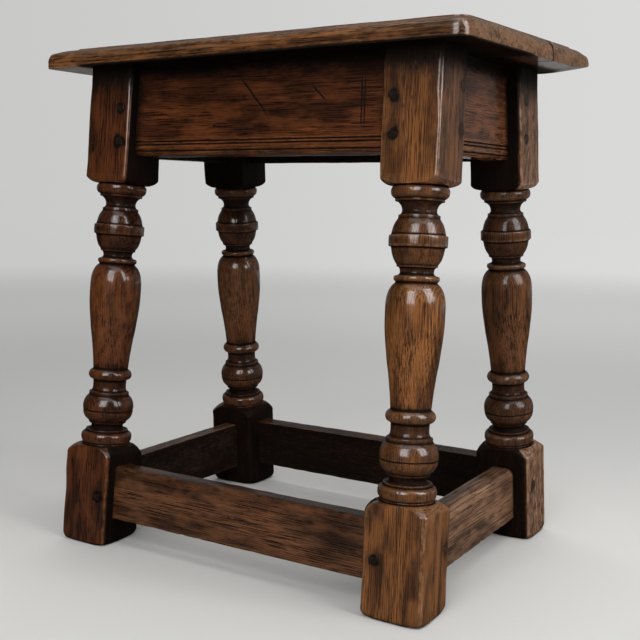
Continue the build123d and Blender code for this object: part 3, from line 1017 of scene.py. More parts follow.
# ---- legs
@dataclass(frozen=True)
class TurnedLeg(Part):
    """A leg: square blocks at both ends and a run of turned members between.

    Attributes:
        face_share: share of an eighth's columns on the flat of a block.
        foot_corner: how much more is worn at the foot's corners.
        handled: how much the turning is rubbed.
        bleach_and_light: how much paler the outer side face is, on the upper and the lower block,
        partly bleaching and partly painted light; less than 0 where it gets painted shade instead.
        stained: how much darker the rings and balls are than the baluster.
        shoulder_depth: how far a shoulder's round goes in; its height is upper_shoulder or
            lower_shoulder.
    """

    side: Side
    end: End
    seed: int
    columns: int = 20
    face_share: float = 0.6
    foot_round: float = 2.8
    foot_corner: float = 4.5
    arris: float = 3.7
    handled: float = 0.25
    bleach_and_light: tuple[float, float] = (0.0, 0.0)
    stained: float = 0.5
    shoulder_depth: float = 11.0
    upper_shoulder: float = 9.0
    lower_shoulder: float = 14.0

    slot: ClassVar[str] = "leg_oak"
    ROW_STEP: ClassVar[float] = 1.9
    FOOT_ROWS: ClassVar[int] = 8
    SHOULDER_REACH: ClassVar[float] = 0.4
    BLOCK_REACH: ClassVar[float] = 0.2
    NECK_LIMIT: ClassVar[float] = 24.4
    LEAST_MEET: ClassVar[float] = 10.0
    NO_LIMIT: ClassVar[float] = 99.0
    CAP_SHARES: ClassVar[tuple[float, float]] = (0.35, 0.75)

    @property
    def node(self) -> str:
        """The node that this leg replaces."""
        return f"leg_{self.end.name.lower()}_{self.side.name.lower()}"

    @property
    def grain(self) -> Axes:
        """Axes of the leg."""
        return SIZES.leg_axes(self.side, self.end)

    @property
    def pegs(self) -> list[PegPlace]:
        """All six pegs of the leg."""
        return sum(peg_places(self.side, self.end), [])

    def members(self) -> Array:
        """The turning's half outline.

        It is a chain of straight fillets, quarter rounds at the blocks, and smooth curves for the
        rings, coves, ball, long baluster and vase.

        Returns:
            (radius, height) from the lower block up to the upper one.
        """
        corner = (SIZES.half - self.arris) * 2 ** 0.5 + self.arris + 0.8
        neck = corner - self.shoulder_depth
        low = SIZES.lower_block
        top = SIZES.turning_top
        return np.vstack([
            quarter((neck, low - self.lower_shoulder), self.shoulder_depth, self.lower_shoulder,
                    0, 90),
            [(24.0, low), (24.0, 100.5)],
            through([(23.4, 100.6), (25.0, 102.6), (25.8, 106.5), (25.0, 110.2), (22.6, 112.0)]),
            [(21.5, 112.0), (21.5, 114.5), (18.6, 114.5)],
            through([(18.4, 114.6), (16.5, 116.1), (16.1, 117.8), (16.8, 119.8), (18.2, 121.0)]),
            [(19.1, 121.0), (19.1, 123.5)],
            through([(20.0, 123.5), (22.9, 126.2), (24.9, 130.2), (25.6, 134.2)]),
            [(24.7, 134.5), (24.7, 134.9)],
            through([(25.7, 135.2), (25.8, 138.5), (25.0, 143.0), (23.2, 147.0), (20.6, 149.8)]),
            [(20.3, 149.8), (20.3, 153.2)],
            through([(20.0, 153.3), (17.9, 154.6), (17.0, 157.0), (16.8, 161.0), (17.0, 165.6)]),
            through([(17.4, 165.8), (20.4, 167.4), (22.0, 171.3), (20.4, 175.2), (18.2, 176.8)]),
            through([(17.7, 177.2), (18.0, 180.2), (18.7, 188.8), (19.7, 197.4), (21.1, 208.5),
                     (22.5, 217.0), (23.7, 227.2), (24.9, 237.5), (25.6, 246.0), (25.85, 254.5),
                     (25.85, 263.0), (25.6, 269.8), (24.9, 274.0), (23.5, 278.3), (21.1, 282.5),
                     (17.9, 285.5)]),
            through([(18.4, 286.3), (19.7, 287.6), (19.9, 289.0), (19.6, 290.4), (18.4, 291.3)]),
            through([(17.0, 291.4), (15.0, 292.8), (14.6, 294.6), (15.0, 296.8), (16.1, 298.6)]),
            [(17.7, 298.6), (17.7, 300.8)],
            through([(17.9, 300.8), (20.2, 304.2), (22.0, 309.0), (23.3, 315.6)]),
            [(25.0, 315.8), (25.5, 316.6), (25.5, 324.8), (25.0, 325.6)],
            through([(23.6, 325.7), (22.6, 330.4), (20.9, 335.4), (18.3, 339.6)]),
            [(18.1, 339.7), (18.1, 342.8), (16.9, 342.8)],
            through([(16.7, 342.9), (15.2, 345.0), (15.1, 347.4), (16.3, 351.0), (19.4, 354.2)]),
            [(21.4, 354.3), (21.4, 356.9)],
            through([(22.4, 356.9), (24.6, 359.0), (25.3, 362.2), (24.6, 365.4), (22.5, 367.4)]),
            [(22.5, top)],
            quarter((neck, top + self.upper_shoulder), self.shoulder_depth, self.upper_shoulder,
                    270, 90),
        ])

    def rows(self) -> tuple[Array, Array, Array, Array]:
        """Rows up the leg: even steps along the blocks, closer ones at the foot's round.

        Returns:
            Each row's height, its turned radius, and the outline's ridge and crevice there.
        """
        turning = Outline.of(self.members(), closed=False, soft=0.28, step=2.6, turn=9.0)
        reach = SIZES.frame_height / self.grain.rows[2, 2]
        start, finish = turning.points[0, 1], turning.points[-1, 1]
        foot = self.foot_round * (1 - np.cos(np.linspace(0, np.pi / 2, self.FOOT_ROWS)))
        below = np.concatenate([foot[:-1], np.arange(self.foot_round, start - 1.0, self.ROW_STEP)])
        above = np.concatenate([np.arange(finish + 1.5, reach - 1, self.ROW_STEP), [reach]])
        pad = (len(below), len(above))
        return (np.concatenate([below, turning.points[:, 1], above]),
                np.pad(turning.points[:, 0], pad, constant_values=SIZES.square),
                np.pad(turning.ridge, pad), np.pad(turning.crevice, pad))

    def angles(self, radius: Array, squared: Array) -> tuple[Array, Array]:
        """Angles of the columns in each row.

        Each eighth of the way round has some columns on the block's flat and the rest on its
        arris.  In a shoulder's rows the angle between the two slides, so that one column follows
        the line where the shoulder's round meets the flat.

        Args:
            radius: turned radius of each row.
            squared: True for rows that cut a block's flats.

        Returns:
            Angles in radians, and which of the four corners each column is nearest.
        """
        half = SIZES.half
        meet = np.degrees(np.arccos(np.clip(half / np.maximum(radius, half), -1, 1)))
        arris_start = math.degrees(math.atan((half - self.arris) / half))
        meet = np.where(squared, np.clip(meet, self.LEAST_MEET, arris_start),
                        45.0 * self.face_share)[:, None]
        octant = np.linspace(0, 1, self.columns + 1)
        flat = held(octant / self.face_share)
        rest = held((octant - self.face_share) / (1 - self.face_share))
        angle = meet * flat + (45.0 - meet) * rest
        quadrant = np.concatenate([angle[:, :-1], 90.0 - angle[:, :0:-1]], axis=1)
        theta = np.radians(np.concatenate([quadrant + 90.0 * k for k in range(4)], axis=1))
        return theta, (np.arange(theta.shape[1]) // (2 * self.columns))[None, :]

    def block_radius(self, noise: Noise, height: Array, corner: Array, off_corner: Array) -> Array:
        """Radius of the blocks' section: flats, and round arrises that are worn unevenly.

        On a flat it is half the square over the cosine of the angle from the face's middle.  On an
        arris it is where the ray meets the arris's own circle.

        Args:
            noise: of the wear.
            height: of each row.
            corner: which corner each column is nearest.
            off_corner: degrees from that corner.

        Returns:
            The radius of each point.
        """
        half = SIZES.half
        place = np.stack(np.broadcast_arrays(corner * 37.0, 5.0, height[:, None]), axis=-1)
        arris = self.arris * (1.0 + 0.55 * noise.rough(place, (60, 60, 26)))
        bruise = np.maximum(noise.at(place + 90.0, (60, 60, 13)) - 0.45, 0)
        arris = np.maximum(arris, 1.0) + 1.8 * bruise * 2
        centre = (half - arris) * 2 ** 0.5
        tilt = np.radians(np.abs(off_corner))
        on_face = half / np.cos(np.radians(45.0) - tilt)
        inside = np.maximum(arris ** 2 - (centre * np.sin(tilt)) ** 2, 0)
        on_arris = centre * np.cos(tilt) + np.sqrt(inside)
        at_arris = np.tan(np.radians(45.0) - tilt) > (half - arris) / half
        return np.where(at_arris, on_arris, on_face)

    def build(self) -> list[Skin]:
        """The whole surface: rows up the leg, columns round it.

        The radius is the smaller of the rounded square's and the turning's, less the wear.  The
        foot's lower edge is rounded, most of all at its corners.  Both ends are sheared level with
        the floor and the seat, and closed by smaller rings.  Wear, partly a painted highlight, lies
        on ridges and arrises, and bleaching with painted light on the outer side, which gets
        painted shade instead where its number is below 0.  Darker paint lies in the hollows, dirt
        round the pegs and at the foot, and dirt with painted shade on the inner faces and under the
        seat.

        Returns:
            The leg's skin.
        """
        noise = Noise(self.seed)
        half, low, top = SIZES.half, SIZES.lower_block, SIZES.turning_top
        axes = self.grain
        height, radius, ridge, crevice = self.rows()
        shoulder = (height < low + self.SHOULDER_REACH) | (height > top - self.SHOULDER_REACH)
        squared = shoulder & (radius > self.NECK_LIMIT)
        theta, corner = self.angles(radius, squared)
        off_corner = np.degrees(theta) - 90.0 * corner - 45.0
        turned = self.turned(height)[:, None]

        square = self.block_radius(noise, height, corner, off_corner)
        wide = np.where(squared[:, None] | ~turned, square, self.NO_LIMIT)
        full = np.minimum(wide, radius[:, None])
        around = np.stack([np.cos(theta) * half, np.sin(theta) * half,
                           np.broadcast_to(height[:, None], theta.shape)], axis=-1)
        uneven = 0.12 * noise.rough(around, (18, 18, 60)) - 0.10
        dents = np.maximum(noise.at(around + 31.0, (5, 5, 8)) - 0.62, 0)
        chips = 0.35 * ridge[:, None] * np.maximum(noise.at(around + 11.0, (9, 9, 7)), 0)
        full = full + uneven - 0.9 * dents - chips
        off_edge = np.abs(off_corner) * full * np.pi / 180
        foot_radius = self.foot_round + self.foot_corner * fall(off_edge, 6.5)
        lack = np.clip(foot_radius - height[:, None], 0, foot_radius)
        inset = foot_radius - np.sqrt(foot_radius ** 2 - lack ** 2)
        full = full - inset * (1.0 + 0.5 * noise.rough(around + 3.0, (14, 14, 14)))

        x, y = full * np.cos(theta), full * np.sin(theta)
        x = x * (1 + SIZES.growth(height[:, None], x * self.side.value > 0) / half)
        level = -(x * axes.rows[0, 2] + y * axes.rows[1, 2]) / axes.rows[2, 2]
        upper = (height - top - 12) / (height[-1] - top - 12)
        weight = held(1 - height / (low - 16)) + held(upper)
        points = axes.place(x, y, height[:, None] + level * weight[:, None])
        edge = fall(off_edge, 2.0)
        blockish = ~turned & (radius[:, None] > half)

        bleach_and_light = np.where(height > SIZES.frame_height / 2, *self.bleach_and_light)[:, None]
        handled = self.handled * np.exp(-((height - 235.0) / 52.0) ** 4)
        outer = held((self.side.value * np.cos(theta) - np.abs(np.sin(theta))) * 9.0)
        # The outer side face painted paler, partly bleaching and partly painted light.
        paler_side = np.maximum(bleach_and_light, 0) * outer
        # Wear on arrises and ring crowns, partly a painted highlight.
        wear = np.where(blockish, 0.8 * edge + paler_side, handled[:, None]) + 0.45 * ridge[:, None]
        hollow, turned_stain = self.turning_paint(height, radius)
        # Creases, hollows, and the inner faces' dirt and painted shade.
        grime = np.maximum(np.maximum(crevice, hollow)[:, None],
                           np.where(blockish, self.inner_face_dirt_and_shade(theta, height), 0))
        grime = np.maximum(grime, self.joint_grime(points))
        # Painted shade on the outer side face where bleach_and_light is below 0.
        block_stain_and_shade = np.maximum(self.block_stain_and_shade(points), np.maximum(-bleach_and_light, 0) * outer)
        paint = {"wear": held(wear - grime), "grime": grime,
                 "stain_and_shade": np.where(blockish, block_stain_and_shade, turned_stain[:, None])}

        foot_face = points[:1] * [[[1, 1, 0]]]
        foot_caps = [self.shrink(foot_face, share) for share in self.CAP_SHARES]
        head_caps = [self.shrink(points[-1:], share) for share in self.CAP_SHARES[::-1]]
        points = np.concatenate([*foot_caps, points, *head_caps])
        pad = ((len(foot_caps), len(head_caps)), (0, 0))
        return [Skin(points, {name: np.pad(value, pad, constant_values=float(name == "grime"))
                              for name, value in paint.items()})]

    def turning_paint(self, height: Array, radius: Array) -> tuple[Array, Array]:
        """Darker paint in the hollows of the turning, and the darker wax of all but the baluster.

        A hollow is as deep as its radius is less than the largest within 9 mm up or down the leg.

        Args:
            height: of each row.
            radius: turned radius of each row.

        Returns:
            The hollows' darkness and the darker wax for each row.
        """
        capped = np.minimum(radius, SIZES.half)
        near = np.abs(height[:, None] - height[None, :]) < 9.0
        envelope = np.where(near, capped[None, :], 0).max(axis=1)
        hollow = 0.64 * held((envelope - capped - 1.0) / 6.0) * self.turned(height)
        groove = 0.9 * fall(height - 134.7, 0.9)
        baluster = np.clip(1.3 - np.abs(height - 232.0) / 48.0, 0, 0.3) / 0.3
        return np.maximum(hollow, groove), self.stained * (1 - baluster)

    def block_stain_and_shade(self, points: Array) -> Array:
        """Dark patches on the blocks round the pegs and at the lower shoulder; painted shade under
        the seat.

        Args:
            points: places on the leg.

        Returns:
            0 to 1 for each place, from its distance to each of them, made ragged by noise.
        """
        blots = Noise(self.seed + 200)
        total = np.zeros(points.shape[:-1])
        for place in self.pegs:
            far = np.linalg.norm(points - place.axes().origin, axis=-1)
            far = far * (1 + 0.5 * blots.rough(points, (14, 14, 22)))
            total = np.maximum(total, 0.75 * fall(far, 11.0))
        corner = np.array([-self.side.value * SIZES.half, self.end.value * SIZES.half,
                           SIZES.lower_block - 4.0])
        far = np.linalg.norm(points - (self.grain.origin + corner @ self.grain.rows), axis=-1)
        far = far * (1 + 0.5 * blots.rough(points + 60.0, (14, 14, 22)))
        total = np.maximum(total, 0.9 * fall(far, 15.0))
        # Painted shade under the seat, fading over some 50 mm down the block.
        seat = SIZES.frame_height - points[..., 2]
        seat = seat * (1 + 0.4 * blots.rough(points + 20.0, (12, 12, 40)))
        return np.maximum(total, 0.85 * fall(seat, 48.0))

    def inner_face_dirt_and_shade(self, theta: Array, height: Array) -> Array:
        """Dirt and painted shade on the two faces of a block that look into the stool, more on the
        upper block.

        Args:
            theta: angle of each point.
            height: of each row.

        Returns:
            0 to 1 for each point.
        """
        inner_x, inner_y = -self.side.value * np.cos(theta), -self.end.value * np.sin(theta)
        facing = np.maximum(inner_x - np.abs(np.sin(theta)), inner_y - np.abs(np.cos(theta)))
        facing = np.maximum(facing, np.minimum(inner_x, inner_y) - 0.35)
        amount = np.where(height > SIZES.frame_height / 2, 0.97, 0.92)[:, None]
        return amount * held(facing * 9.0)

    def turned(self, height: Array) -> Array:
        """True where a height is between the two blocks."""
        low, top = SIZES.lower_block + self.BLOCK_REACH, SIZES.turning_top - self.BLOCK_REACH
        return (height > low) & (height < top)

    @staticmethod
    def shrink(ring: Array, share: float) -> Array:
        """A ring drawn in towards its middle to a share of its size."""
        middle = ring.mean(axis=1, keepdims=True)
        return middle + (ring - middle) * share

    def joint_grime(self, points: Array) -> Array:
        """Dirt round the peg heads and at the foot, and a painted shadow under the seat.

        Args:
            points: places on the leg.

        Returns:
            0 to 1 for each place, from the distance to the nearest of them.
        """
        total = np.zeros(points.shape[:-1])
        blots = Noise(self.seed + 100)
        for place in self.pegs:
            far = np.linalg.norm(points - place.axes().origin, axis=-1)
            far = far * (1 + 0.62 * blots.rough(points, (6, 6, 9)))
            strength = 0.6 if place.sideways else 1.1
            ring = fall(np.maximum(far - 4.4, 0), 1.9)
            total = np.maximum(total, strength * ring)
        # Painted shadow under the seat's overhang, fading over some 30 mm down the leg.
        seat = SIZES.frame_height - points[..., 2]
        seat = seat * (1 + 0.2 * blots.rough(points + 40.0, (9, 9, 30)))
        total = np.maximum(total, 1.1 * fall(seat, 23.0))
        foot = fall(points[..., 2], 3.0)
        return np.maximum(total, 0.8 * foot)


# ---- rails
class RailKind(Enum):
    """An apron under the seat or a stretcher near the floor."""

    APRON = "apron"
    STRETCHER = "stretcher"


@dataclass(frozen=True)
class Rail(Part):
    """A board between two legs, with a tenon at each end.

    Attributes:
        where: the side or end of the stool that it closes.
        rubbed: how much more its upper outer edge is worn, in millimetres.
        quirk_depth: depth of an apron's scratched lines.
    """

    kind: RailKind
    where: Side | End
    seed: int
    rubbed: float = 1.0
    marks: tuple[KnifeMark, ...] = ()
    bottom_chamfer: float = 2.7
    quirk_depth: float = 1.5
    step: float = 3.0

    slot: ClassVar[str] = "rail_oak"

    @property
    def node(self) -> str:
        """The node that this rail replaces."""
        return f"{self.kind.value}_{self.where.name.lower()}"

    @property
    def axes(self) -> Axes:
        """Axes of the frame that the rail is in."""
        return SIZES.frame_axes(self.where)

    @property
    def grain(self) -> Axes:
        """The frame's axes with the rail's length last."""
        return self.axes.grain((1, 2, 0))

    @property
    def cut(self) -> Cut:
        """Aprons are flat sawn and stretchers slanting."""
        return Cut.FLAT if self.is_apron else Cut.SLANT

    @property
    def sideways(self) -> bool:
        """True for a rail of the left or right frame."""
        return isinstance(self.where, Side)

    @property
    def is_apron(self) -> bool:
        """True for an apron."""
        return self.kind is RailKind.APRON

    @property
    def face(self) -> float:
        """Outer face, measured outwards from the leg axes."""
        return SIZES.half - SIZES.rail_inset

    def edges(self) -> tuple[float, float]:
        """Lower and upper edge.

        Returns:
            Two distances up the leaning frame.
        """
        up = 1 / math.cos(math.radians(SIZES.lean_x if self.sideways else SIZES.lean_y))
        if self.is_apron:
            top = SIZES.frame_height * up
            return top - SIZES.apron_depth, top
        drop = SIZES.side_stretcher_drop if self.sideways else 0.0
        low = (SIZES.stretcher_clearance - drop) * up
        return low, low + SIZES.stretcher_depth

    def section(self) -> Array:
        """The outline of the board's section.

        An apron has a bevel, a scratched line, a soft bead and two more scratched lines with a
        fillet between along its lower outer edge; a stretcher is plain, with its upper outer edge
        rubbed round.

        Returns:
            (outward, up) places, with the wood on their left.
        """
        low, high = self.edges()
        face, back = self.face, self.face - SIZES.rail_thickness
        if not self.is_apron:
            wear = 8.0 if self.sideways else 5.0
            worn = quarter((face - wear, high - wear), wear, wear, 0, 90)
            return np.vstack([[(back, low), (face, low)], worn, [(back, high)]])
        at = low + self.bottom_chamfer
        floor = face - self.quirk_depth
        lip = [(face - 0.15, at + 0.2), (face - 0.15, at + 0.7), (floor + 0.2, at + 0.8),
               (floor + 0.2, at + 1.6)]
        band = through([(face - 0.9, at + 1.7), (face - 0.2, at + 2.6), (face, at + 4.3),
                        (face - 0.15, at + 6.2), (face - 1.0, at + 7.2)])
        upper = [(floor, at + 7.3), (floor, at + 8.2), (face - 0.75, at + 8.3),
                 (face - 0.75, at + 10.0), (floor, at + 10.1), (floor, at + 11.0),
                 (face, at + 11.1)]
        lift = -self.axes.rows[1, 2] / self.axes.rows[2, 2] * self.outward
        tops = [(face, high + face * lift), (back, high + back * lift)]
        bevel = [(back, low), (face - self.bottom_chamfer, low)]
        return np.vstack([bevel, lip, band, upper, tops])

    @property
    def outward(self) -> float:
        """Sign of the frame's second axis that points out of the stool."""
        return float(self.where.value)

    def reach(self, base: Array, sign: int, depth: float) -> Array:
        """How far along the rail each section point meets the plane of the leg at its end.

        Args:
            base: places of the section.
            sign: which end of the rail, along the frame's first axis.
            depth: of the plane behind the leg's face.

        Returns:
            Distances along the frame's first axis.
        """
        if self.sideways:
            leg = SIZES.leg_axes(self.where, End(-sign))
            normal = leg.rows[1]
        else:
            leg = SIZES.leg_axes(Side(sign), self.where)
            normal = leg.rows[0]
        inwards = -np.sign(normal @ self.axes.rows[0]) * sign
        distance = normal @ leg.origin + inwards * (SIZES.half - depth)
        return (distance - base @ normal) / (self.axes.rows[0] @ normal)

    def build(self) -> list[Skin]:
        """The surface: stations along the board, the section round it, then the tenons.

        Each point moves inwards by the wear at its station.  At both ends the section is drawn
        radially onto the tenon's rectangle, for a ring at the shoulder and one at the tenon's end.

        Returns:
            The rail's skin.
        """
        noise = Noise(self.seed)
        outline = Outline.of(self.section(), closed=True, soft=0.3 if self.is_apron else 0.5,
                             step=self.step, turn=12.0)
        out, up = outline.points.T
        rest = self.axes.place(0.0, out * self.outward, up)
        start, finish = self.reach(rest, -1, 0.0), self.reach(rest, 1, 0.0)
        length = float(np.mean(finish - start))
        share = np.linspace(0, 1, int(length / self.step) + 1)[:, None]
        run = start + (finish - start) * share
        local = np.stack(np.broadcast_arrays(run, out, up), axis=-1)
        ends = np.minimum(share, 1 - share) * length
        fade = held(ends / 6.0)
        rub = np.maximum(noise.rough(local, (22, 30, 30)) + 0.25, 0)
        rub = rub * (0.7 + self.upper_edge(out, up) * self.rubbed)
        chips = np.maximum(noise.at(local + 50.0, (7, 9, 9)) - 0.5, 0) * 1.6
        wave = 0.16 * noise.rough(local + 20.0, (70, 25, 22))
        cut = (rub * outline.ridge * 0.8 + chips * outline.ridge) * fade + 0.1 - wave
        if self.is_apron:
            cut = np.where(up > self.edges()[1] - 3.0, 0, cut)
        body = self.axes.place(run, (out - outline.normals[:, 0] * cut) * self.outward,
                               up - outline.normals[:, 1] * cut)

        tenon_out, tenon_up = self.tenon(out, up)
        rest = self.axes.place(0.0, tenon_out * self.outward, tenon_up)
        deep = SIZES.tenon_length
        along_rail = [self.reach(rest, *at) for at in ((-1, deep), (-1, 0.0), (1, 0.0), (1, deep))]
        caps = self.axes.place(np.stack(along_rail), tenon_out * self.outward, tenon_up)
        edge_wear = 0.55 + (0.6 if self.is_apron else -0.1) * self.upper_edge(out, up)
        wear = held(outline.ridge * edge_wear)
        corner = 9.0 if self.is_apron else 3.5
        # Dirt and painted shade on the inner face, which looks into the stool.
        underside = 0.9 * held(-outline.normals[:, 0] * 3 - 1)
        # Dark creases, and dirt and painted shade near the ends, where the rail meets the legs.
        grime = np.maximum(outline.crevice * 0.9, 0.85 * fall(ends, corner))
        low, high = self.edges()
        # A painted shadow under the seat along an apron's top; darker paint at a stretcher's lower
        # edge and on its top face.
        hidden = (1.1 * fall(high - up, 16.0) if self.is_apron else
                  0.5 * fall(up - low, 2.0) + 0.3 * held((up - high + 1.2) / 0.8))
        grime = np.maximum(grime, np.maximum(hidden, underside))
        stain_and_shade = self.stain_and_shade(run, up, noise.rough(local + 70.0, (34, 20, 16)))
        paint = {name: np.pad(np.broadcast_to(value, run.shape), ((2, 2), (0, 0)),
                              constant_values=float(name == "grime"))
                 for name, value in (("wear", wear), ("grime", grime), ("stain_and_shade", stain_and_shade))}
        return [Skin(np.concatenate([caps[:2], body, caps[2:]]), paint)]

    def stain_and_shade(self, run: Array, up: Array, blots: Array) -> Array:
        """Painted shade on an apron under the seat, with blotches; darker wax on a stretcher's
        trodden edge.

        Args:
            run: how far along the rail.
            up: how far up the frame.
            blots: noise for each point.

        Returns:
            0 to 1 for each point.
        """
        low, high = self.edges()
        if self.is_apron:
            # Painted shade under the seat, fading over some 40 mm down the apron, with blotches of
            # darker wax.
            return held(0.85 * fall(high - up, 38.0) + 0.28 * blots + 0.02)
        edge = fall(high - up, 7.0)
        far_end = np.exp(-(((run - 112.0) / 20.0) ** 2 + ((up - low - 24.0) / 16.0) ** 2))
        return held(edge * (0.75 + 0.6 * blots) + 0.8 * far_end + 0.3 * blots + 0.03)

    def upper_edge(self, out: Array, up: Array) -> Array:
        """1 at the upper outer edge, falling to 0 about 15 mm away."""
        high = self.edges()[1]
        return np.exp(-(((out - self.face) ** 2 + (up - high) ** 2) / 12.0 ** 2))

    def tenon(self, out: Array, up: Array) -> tuple[Array, Array]:
        """Draws section points radially onto the tenon's rectangle.

        Args:
            out: how far outward each point is.
            up: how far up the frame each point is.

        Returns:
            The same two numbers for the points on the rectangle.
        """
        low, high = self.edges()
        below, above = (6.0, 16.0) if self.is_apron else (5.0, 5.0)
        low, high = low + below, high - above
        cheek = self.face - SIZES.tenon_set
        middle = np.array([cheek - SIZES.tenon_thickness / 2, (low + high) / 2])
        half_size = np.array([SIZES.tenon_thickness / 2, (high - low) / 2])
        ray = np.stack([out, up], axis=-1) - middle
        scale = np.min(half_size / np.maximum(np.abs(ray), 1e-6), axis=-1, keepdims=True)
        drawn = middle + ray * scale
        return drawn[..., 0], drawn[..., 1]


# ---- seat
class BoardKind(Enum):
    """The wide front board or the narrow rear one."""

    FRONT = "front"
    REAR = "rear"


@dataclass(frozen=True)
class SeatBoard(Part):
    """One board of the seat, with a thumbnail moulding along its outer edges.

    Attributes:
        length: of the whole seat, as depth is.
        right_skew: how far the right end leans back from square.
        front_skew: how much nearer the front edge's right end is.
        nose: height of the square nose under the moulding.
        end_nose: the same at the right and the left end.
        quirk: depth of the step at the moulding's inner line.
        fullness: how round the moulding is.
        right_edge_width: of the moulding at the right end.
    """

    kind: BoardKind
    seed: int
    length: float = 483.9
    depth: float = 258.0
    front_depth: float = 167.0
    gap: float = 0.5
    right_skew: float = 20.0
    left_skew: float = 7.0
    front_skew: float = 3.5
    nose: float = 10.0
    end_nose: tuple[float, float] = (7.0, 5.5)
    quirk: float = 2.0
    fullness: float = 0.32
    edge_width: float = 22.0
    right_edge_width: float = 12.0
    step: float = 3.0

    slot: ClassVar[str] = "seat_oak"
    cut: ClassVar[Cut] = Cut.FLAT
    UNDER_RINGS: ClassVar[int] = 12
    TOP_RINGS: ClassVar[int] = 16
    CORNER_SHARES: ClassVar[Array] = np.linspace(0, 1, 9)[:-1]

    @property
    def node(self) -> str:
        """The node that this board replaces."""
        return f"seat_board_{self.kind.value}"

    @property
    def grain(self) -> Axes:
        """Axes with the seat's length last."""
        return Axes(np.array([0, 0, SIZES.frame_height]), np.roll(np.eye(3), 1, axis=1))

    def seat_corners(self) -> Array:
        """Plan corners of the whole seat, front left first, then counter-clockwise."""
        x, y = self.length / 2, self.depth / 2
        return np.array([(-x, -y), (x - self.right_skew, -y - self.front_skew), (x, y),
                         (-x + self.left_skew, y)])

    def corners(self) -> tuple[Array, list[bool], list[float]]:
        """The board's plan, front left corner first, then counter-clockwise.

        Returns:
            Corners, whether the edge that follows each is moulded, and the corners' radii.
        """
        a, b, c, d = self.seat_corners()
        joint = self.front_depth - self.depth / 2
        if self.kind is BoardKind.FRONT:
            y = joint - self.gap / 2
            right, left = self.cross(b, c, y), self.cross(a, d, y)
            return np.array([a, b, right, left]), [True, True, False, True], [5.0, 14.0, 0.5, 0.5]
        y = joint + self.gap / 2
        left, right = self.cross(a, d, y), self.cross(b, c, y)
        return np.array([left, right, c, d]), [False, True, True, True], [0.5, 0.5, 6.0, 5.0]

    @staticmethod
    def cross(start: Array, finish: Array, y: float) -> Array:
        """Where the line between two corners crosses a Y."""
        share = (y - start[1]) / (finish[1] - start[1])
        return start + (finish - start) * share

    def rings(self) -> tuple[Array, Array, Array, Array]:
        """The path of the section from the bottom's middle over the edge to the top's middle.

        Returns:
            For each ring its share of the moulding's width, its height over the underside, how far
            it is drawn to the middle of the board, and the outline's ridge and crevice, stacked.
        """
        flat = SIZES.seat_thickness
        slope_end = flat - self.quirk
        rise = slope_end - self.nose
        width = self.edge_width
        thumb = through([(0, self.nose), (width * 0.09, self.nose + rise * 0.42),
                         (width * self.fullness, self.nose + rise * (1 - self.fullness)),
                         (width * 0.66, slope_end - 0.5), (width, slope_end)])
        path = np.vstack([[(30.0, 0.0), (0.0, 0.0), (0.0, self.nose - 0.3)], thumb,
                          [(width, flat), (width + 20.0, flat)]])
        path = path * [-1, 1]
        edge = Outline.of(path, False, 0.5, 2.2, 9.0)
        inset, height = -edge.points[:, 0], edge.points[:, 1]
        keep = (inset < width + 4.0) & ((height > 0.5) | (inset < 8.0))
        inset, height = inset[keep], height[keep]
        pad = (self.UNDER_RINGS, self.TOP_RINGS)
        middle = np.concatenate([np.linspace(0.96, 0.04, self.UNDER_RINGS), np.zeros(keep.sum()),
                                 np.linspace(0.03, 0.97, self.TOP_RINGS)])
        turn = np.stack([np.pad(edge.ridge[keep], pad), np.pad(edge.crevice[keep], pad)])
        return np.pad(inset, pad, "edge") / width, np.pad(height, pad, "edge"), middle, turn

    def plan(self, share: Array, height: Array) -> tuple[Array, Array, Array]:
        """The plan outline of every ring.

        A ring's corner moves inwards by both its edges' insets.  A quadratic curve rounds it
        between the points where its radius starts and ends.

        Args:
            share: each ring's share of the moulding's width.
            height: each ring's height over the underside.

        Returns:
            Places by ring and column, the edge that each column is on, and that edge's inward unit.
        """
        corners, moulded, radii = self.corners()
        run = np.roll(corners, -1, 0) - corners
        lengths = np.linalg.norm(run, axis=1)
        heading = run / lengths[:, None]
        inward = np.stack([-heading[:, 1], heading[:, 0]], axis=1)
        widths = (self.edge_width, self.right_edge_width, self.edge_width, self.edge_width)
        joint_inset = 0.9 * held((height - (SIZES.seat_thickness - 1.2)) / 1.2) ** 2
        inset = [share * width if shaped else joint_inset for width, shaped in zip(widths, moulded)]
        nominal = np.minimum(share * self.edge_width, 3.0)
        radius = [np.maximum(r - 0.6 * nominal, 0.3)[:, None] for r in radii]
        spots = [corners[i] + np.stack([inset[i - 1], inset[i]], axis=1)
                 @ np.linalg.inv(np.stack([inward[i - 1], inward[i]])).T for i in range(4)]
        loop, edge_of = [], []
        t = self.CORNER_SHARES[:, None, None]
        for i in range(4):
            after = (i + 1) % 4
            enter = spots[i] - heading[i - 1] * radius[i]
            leave = spots[i] + heading[i] * radius[i]
            stop = spots[after] - heading[i] * radius[after]
            steps = np.linspace(0, 1, int(lengths[i] / self.step), endpoint=False)
            loop += [(1 - t) ** 2 * enter + 2 * t * (1 - t) * spots[i] + t ** 2 * leave,
                     leave + (stop - leave) * steps[:, None, None]]
            edge_of += [np.where(self.CORNER_SHARES > 0.5, i, (i - 1) % 4), np.full(len(steps), i)]
        edge_of = np.concatenate(edge_of)
        return np.concatenate(loop).swapaxes(0, 1).copy(), edge_of, inward[edge_of]

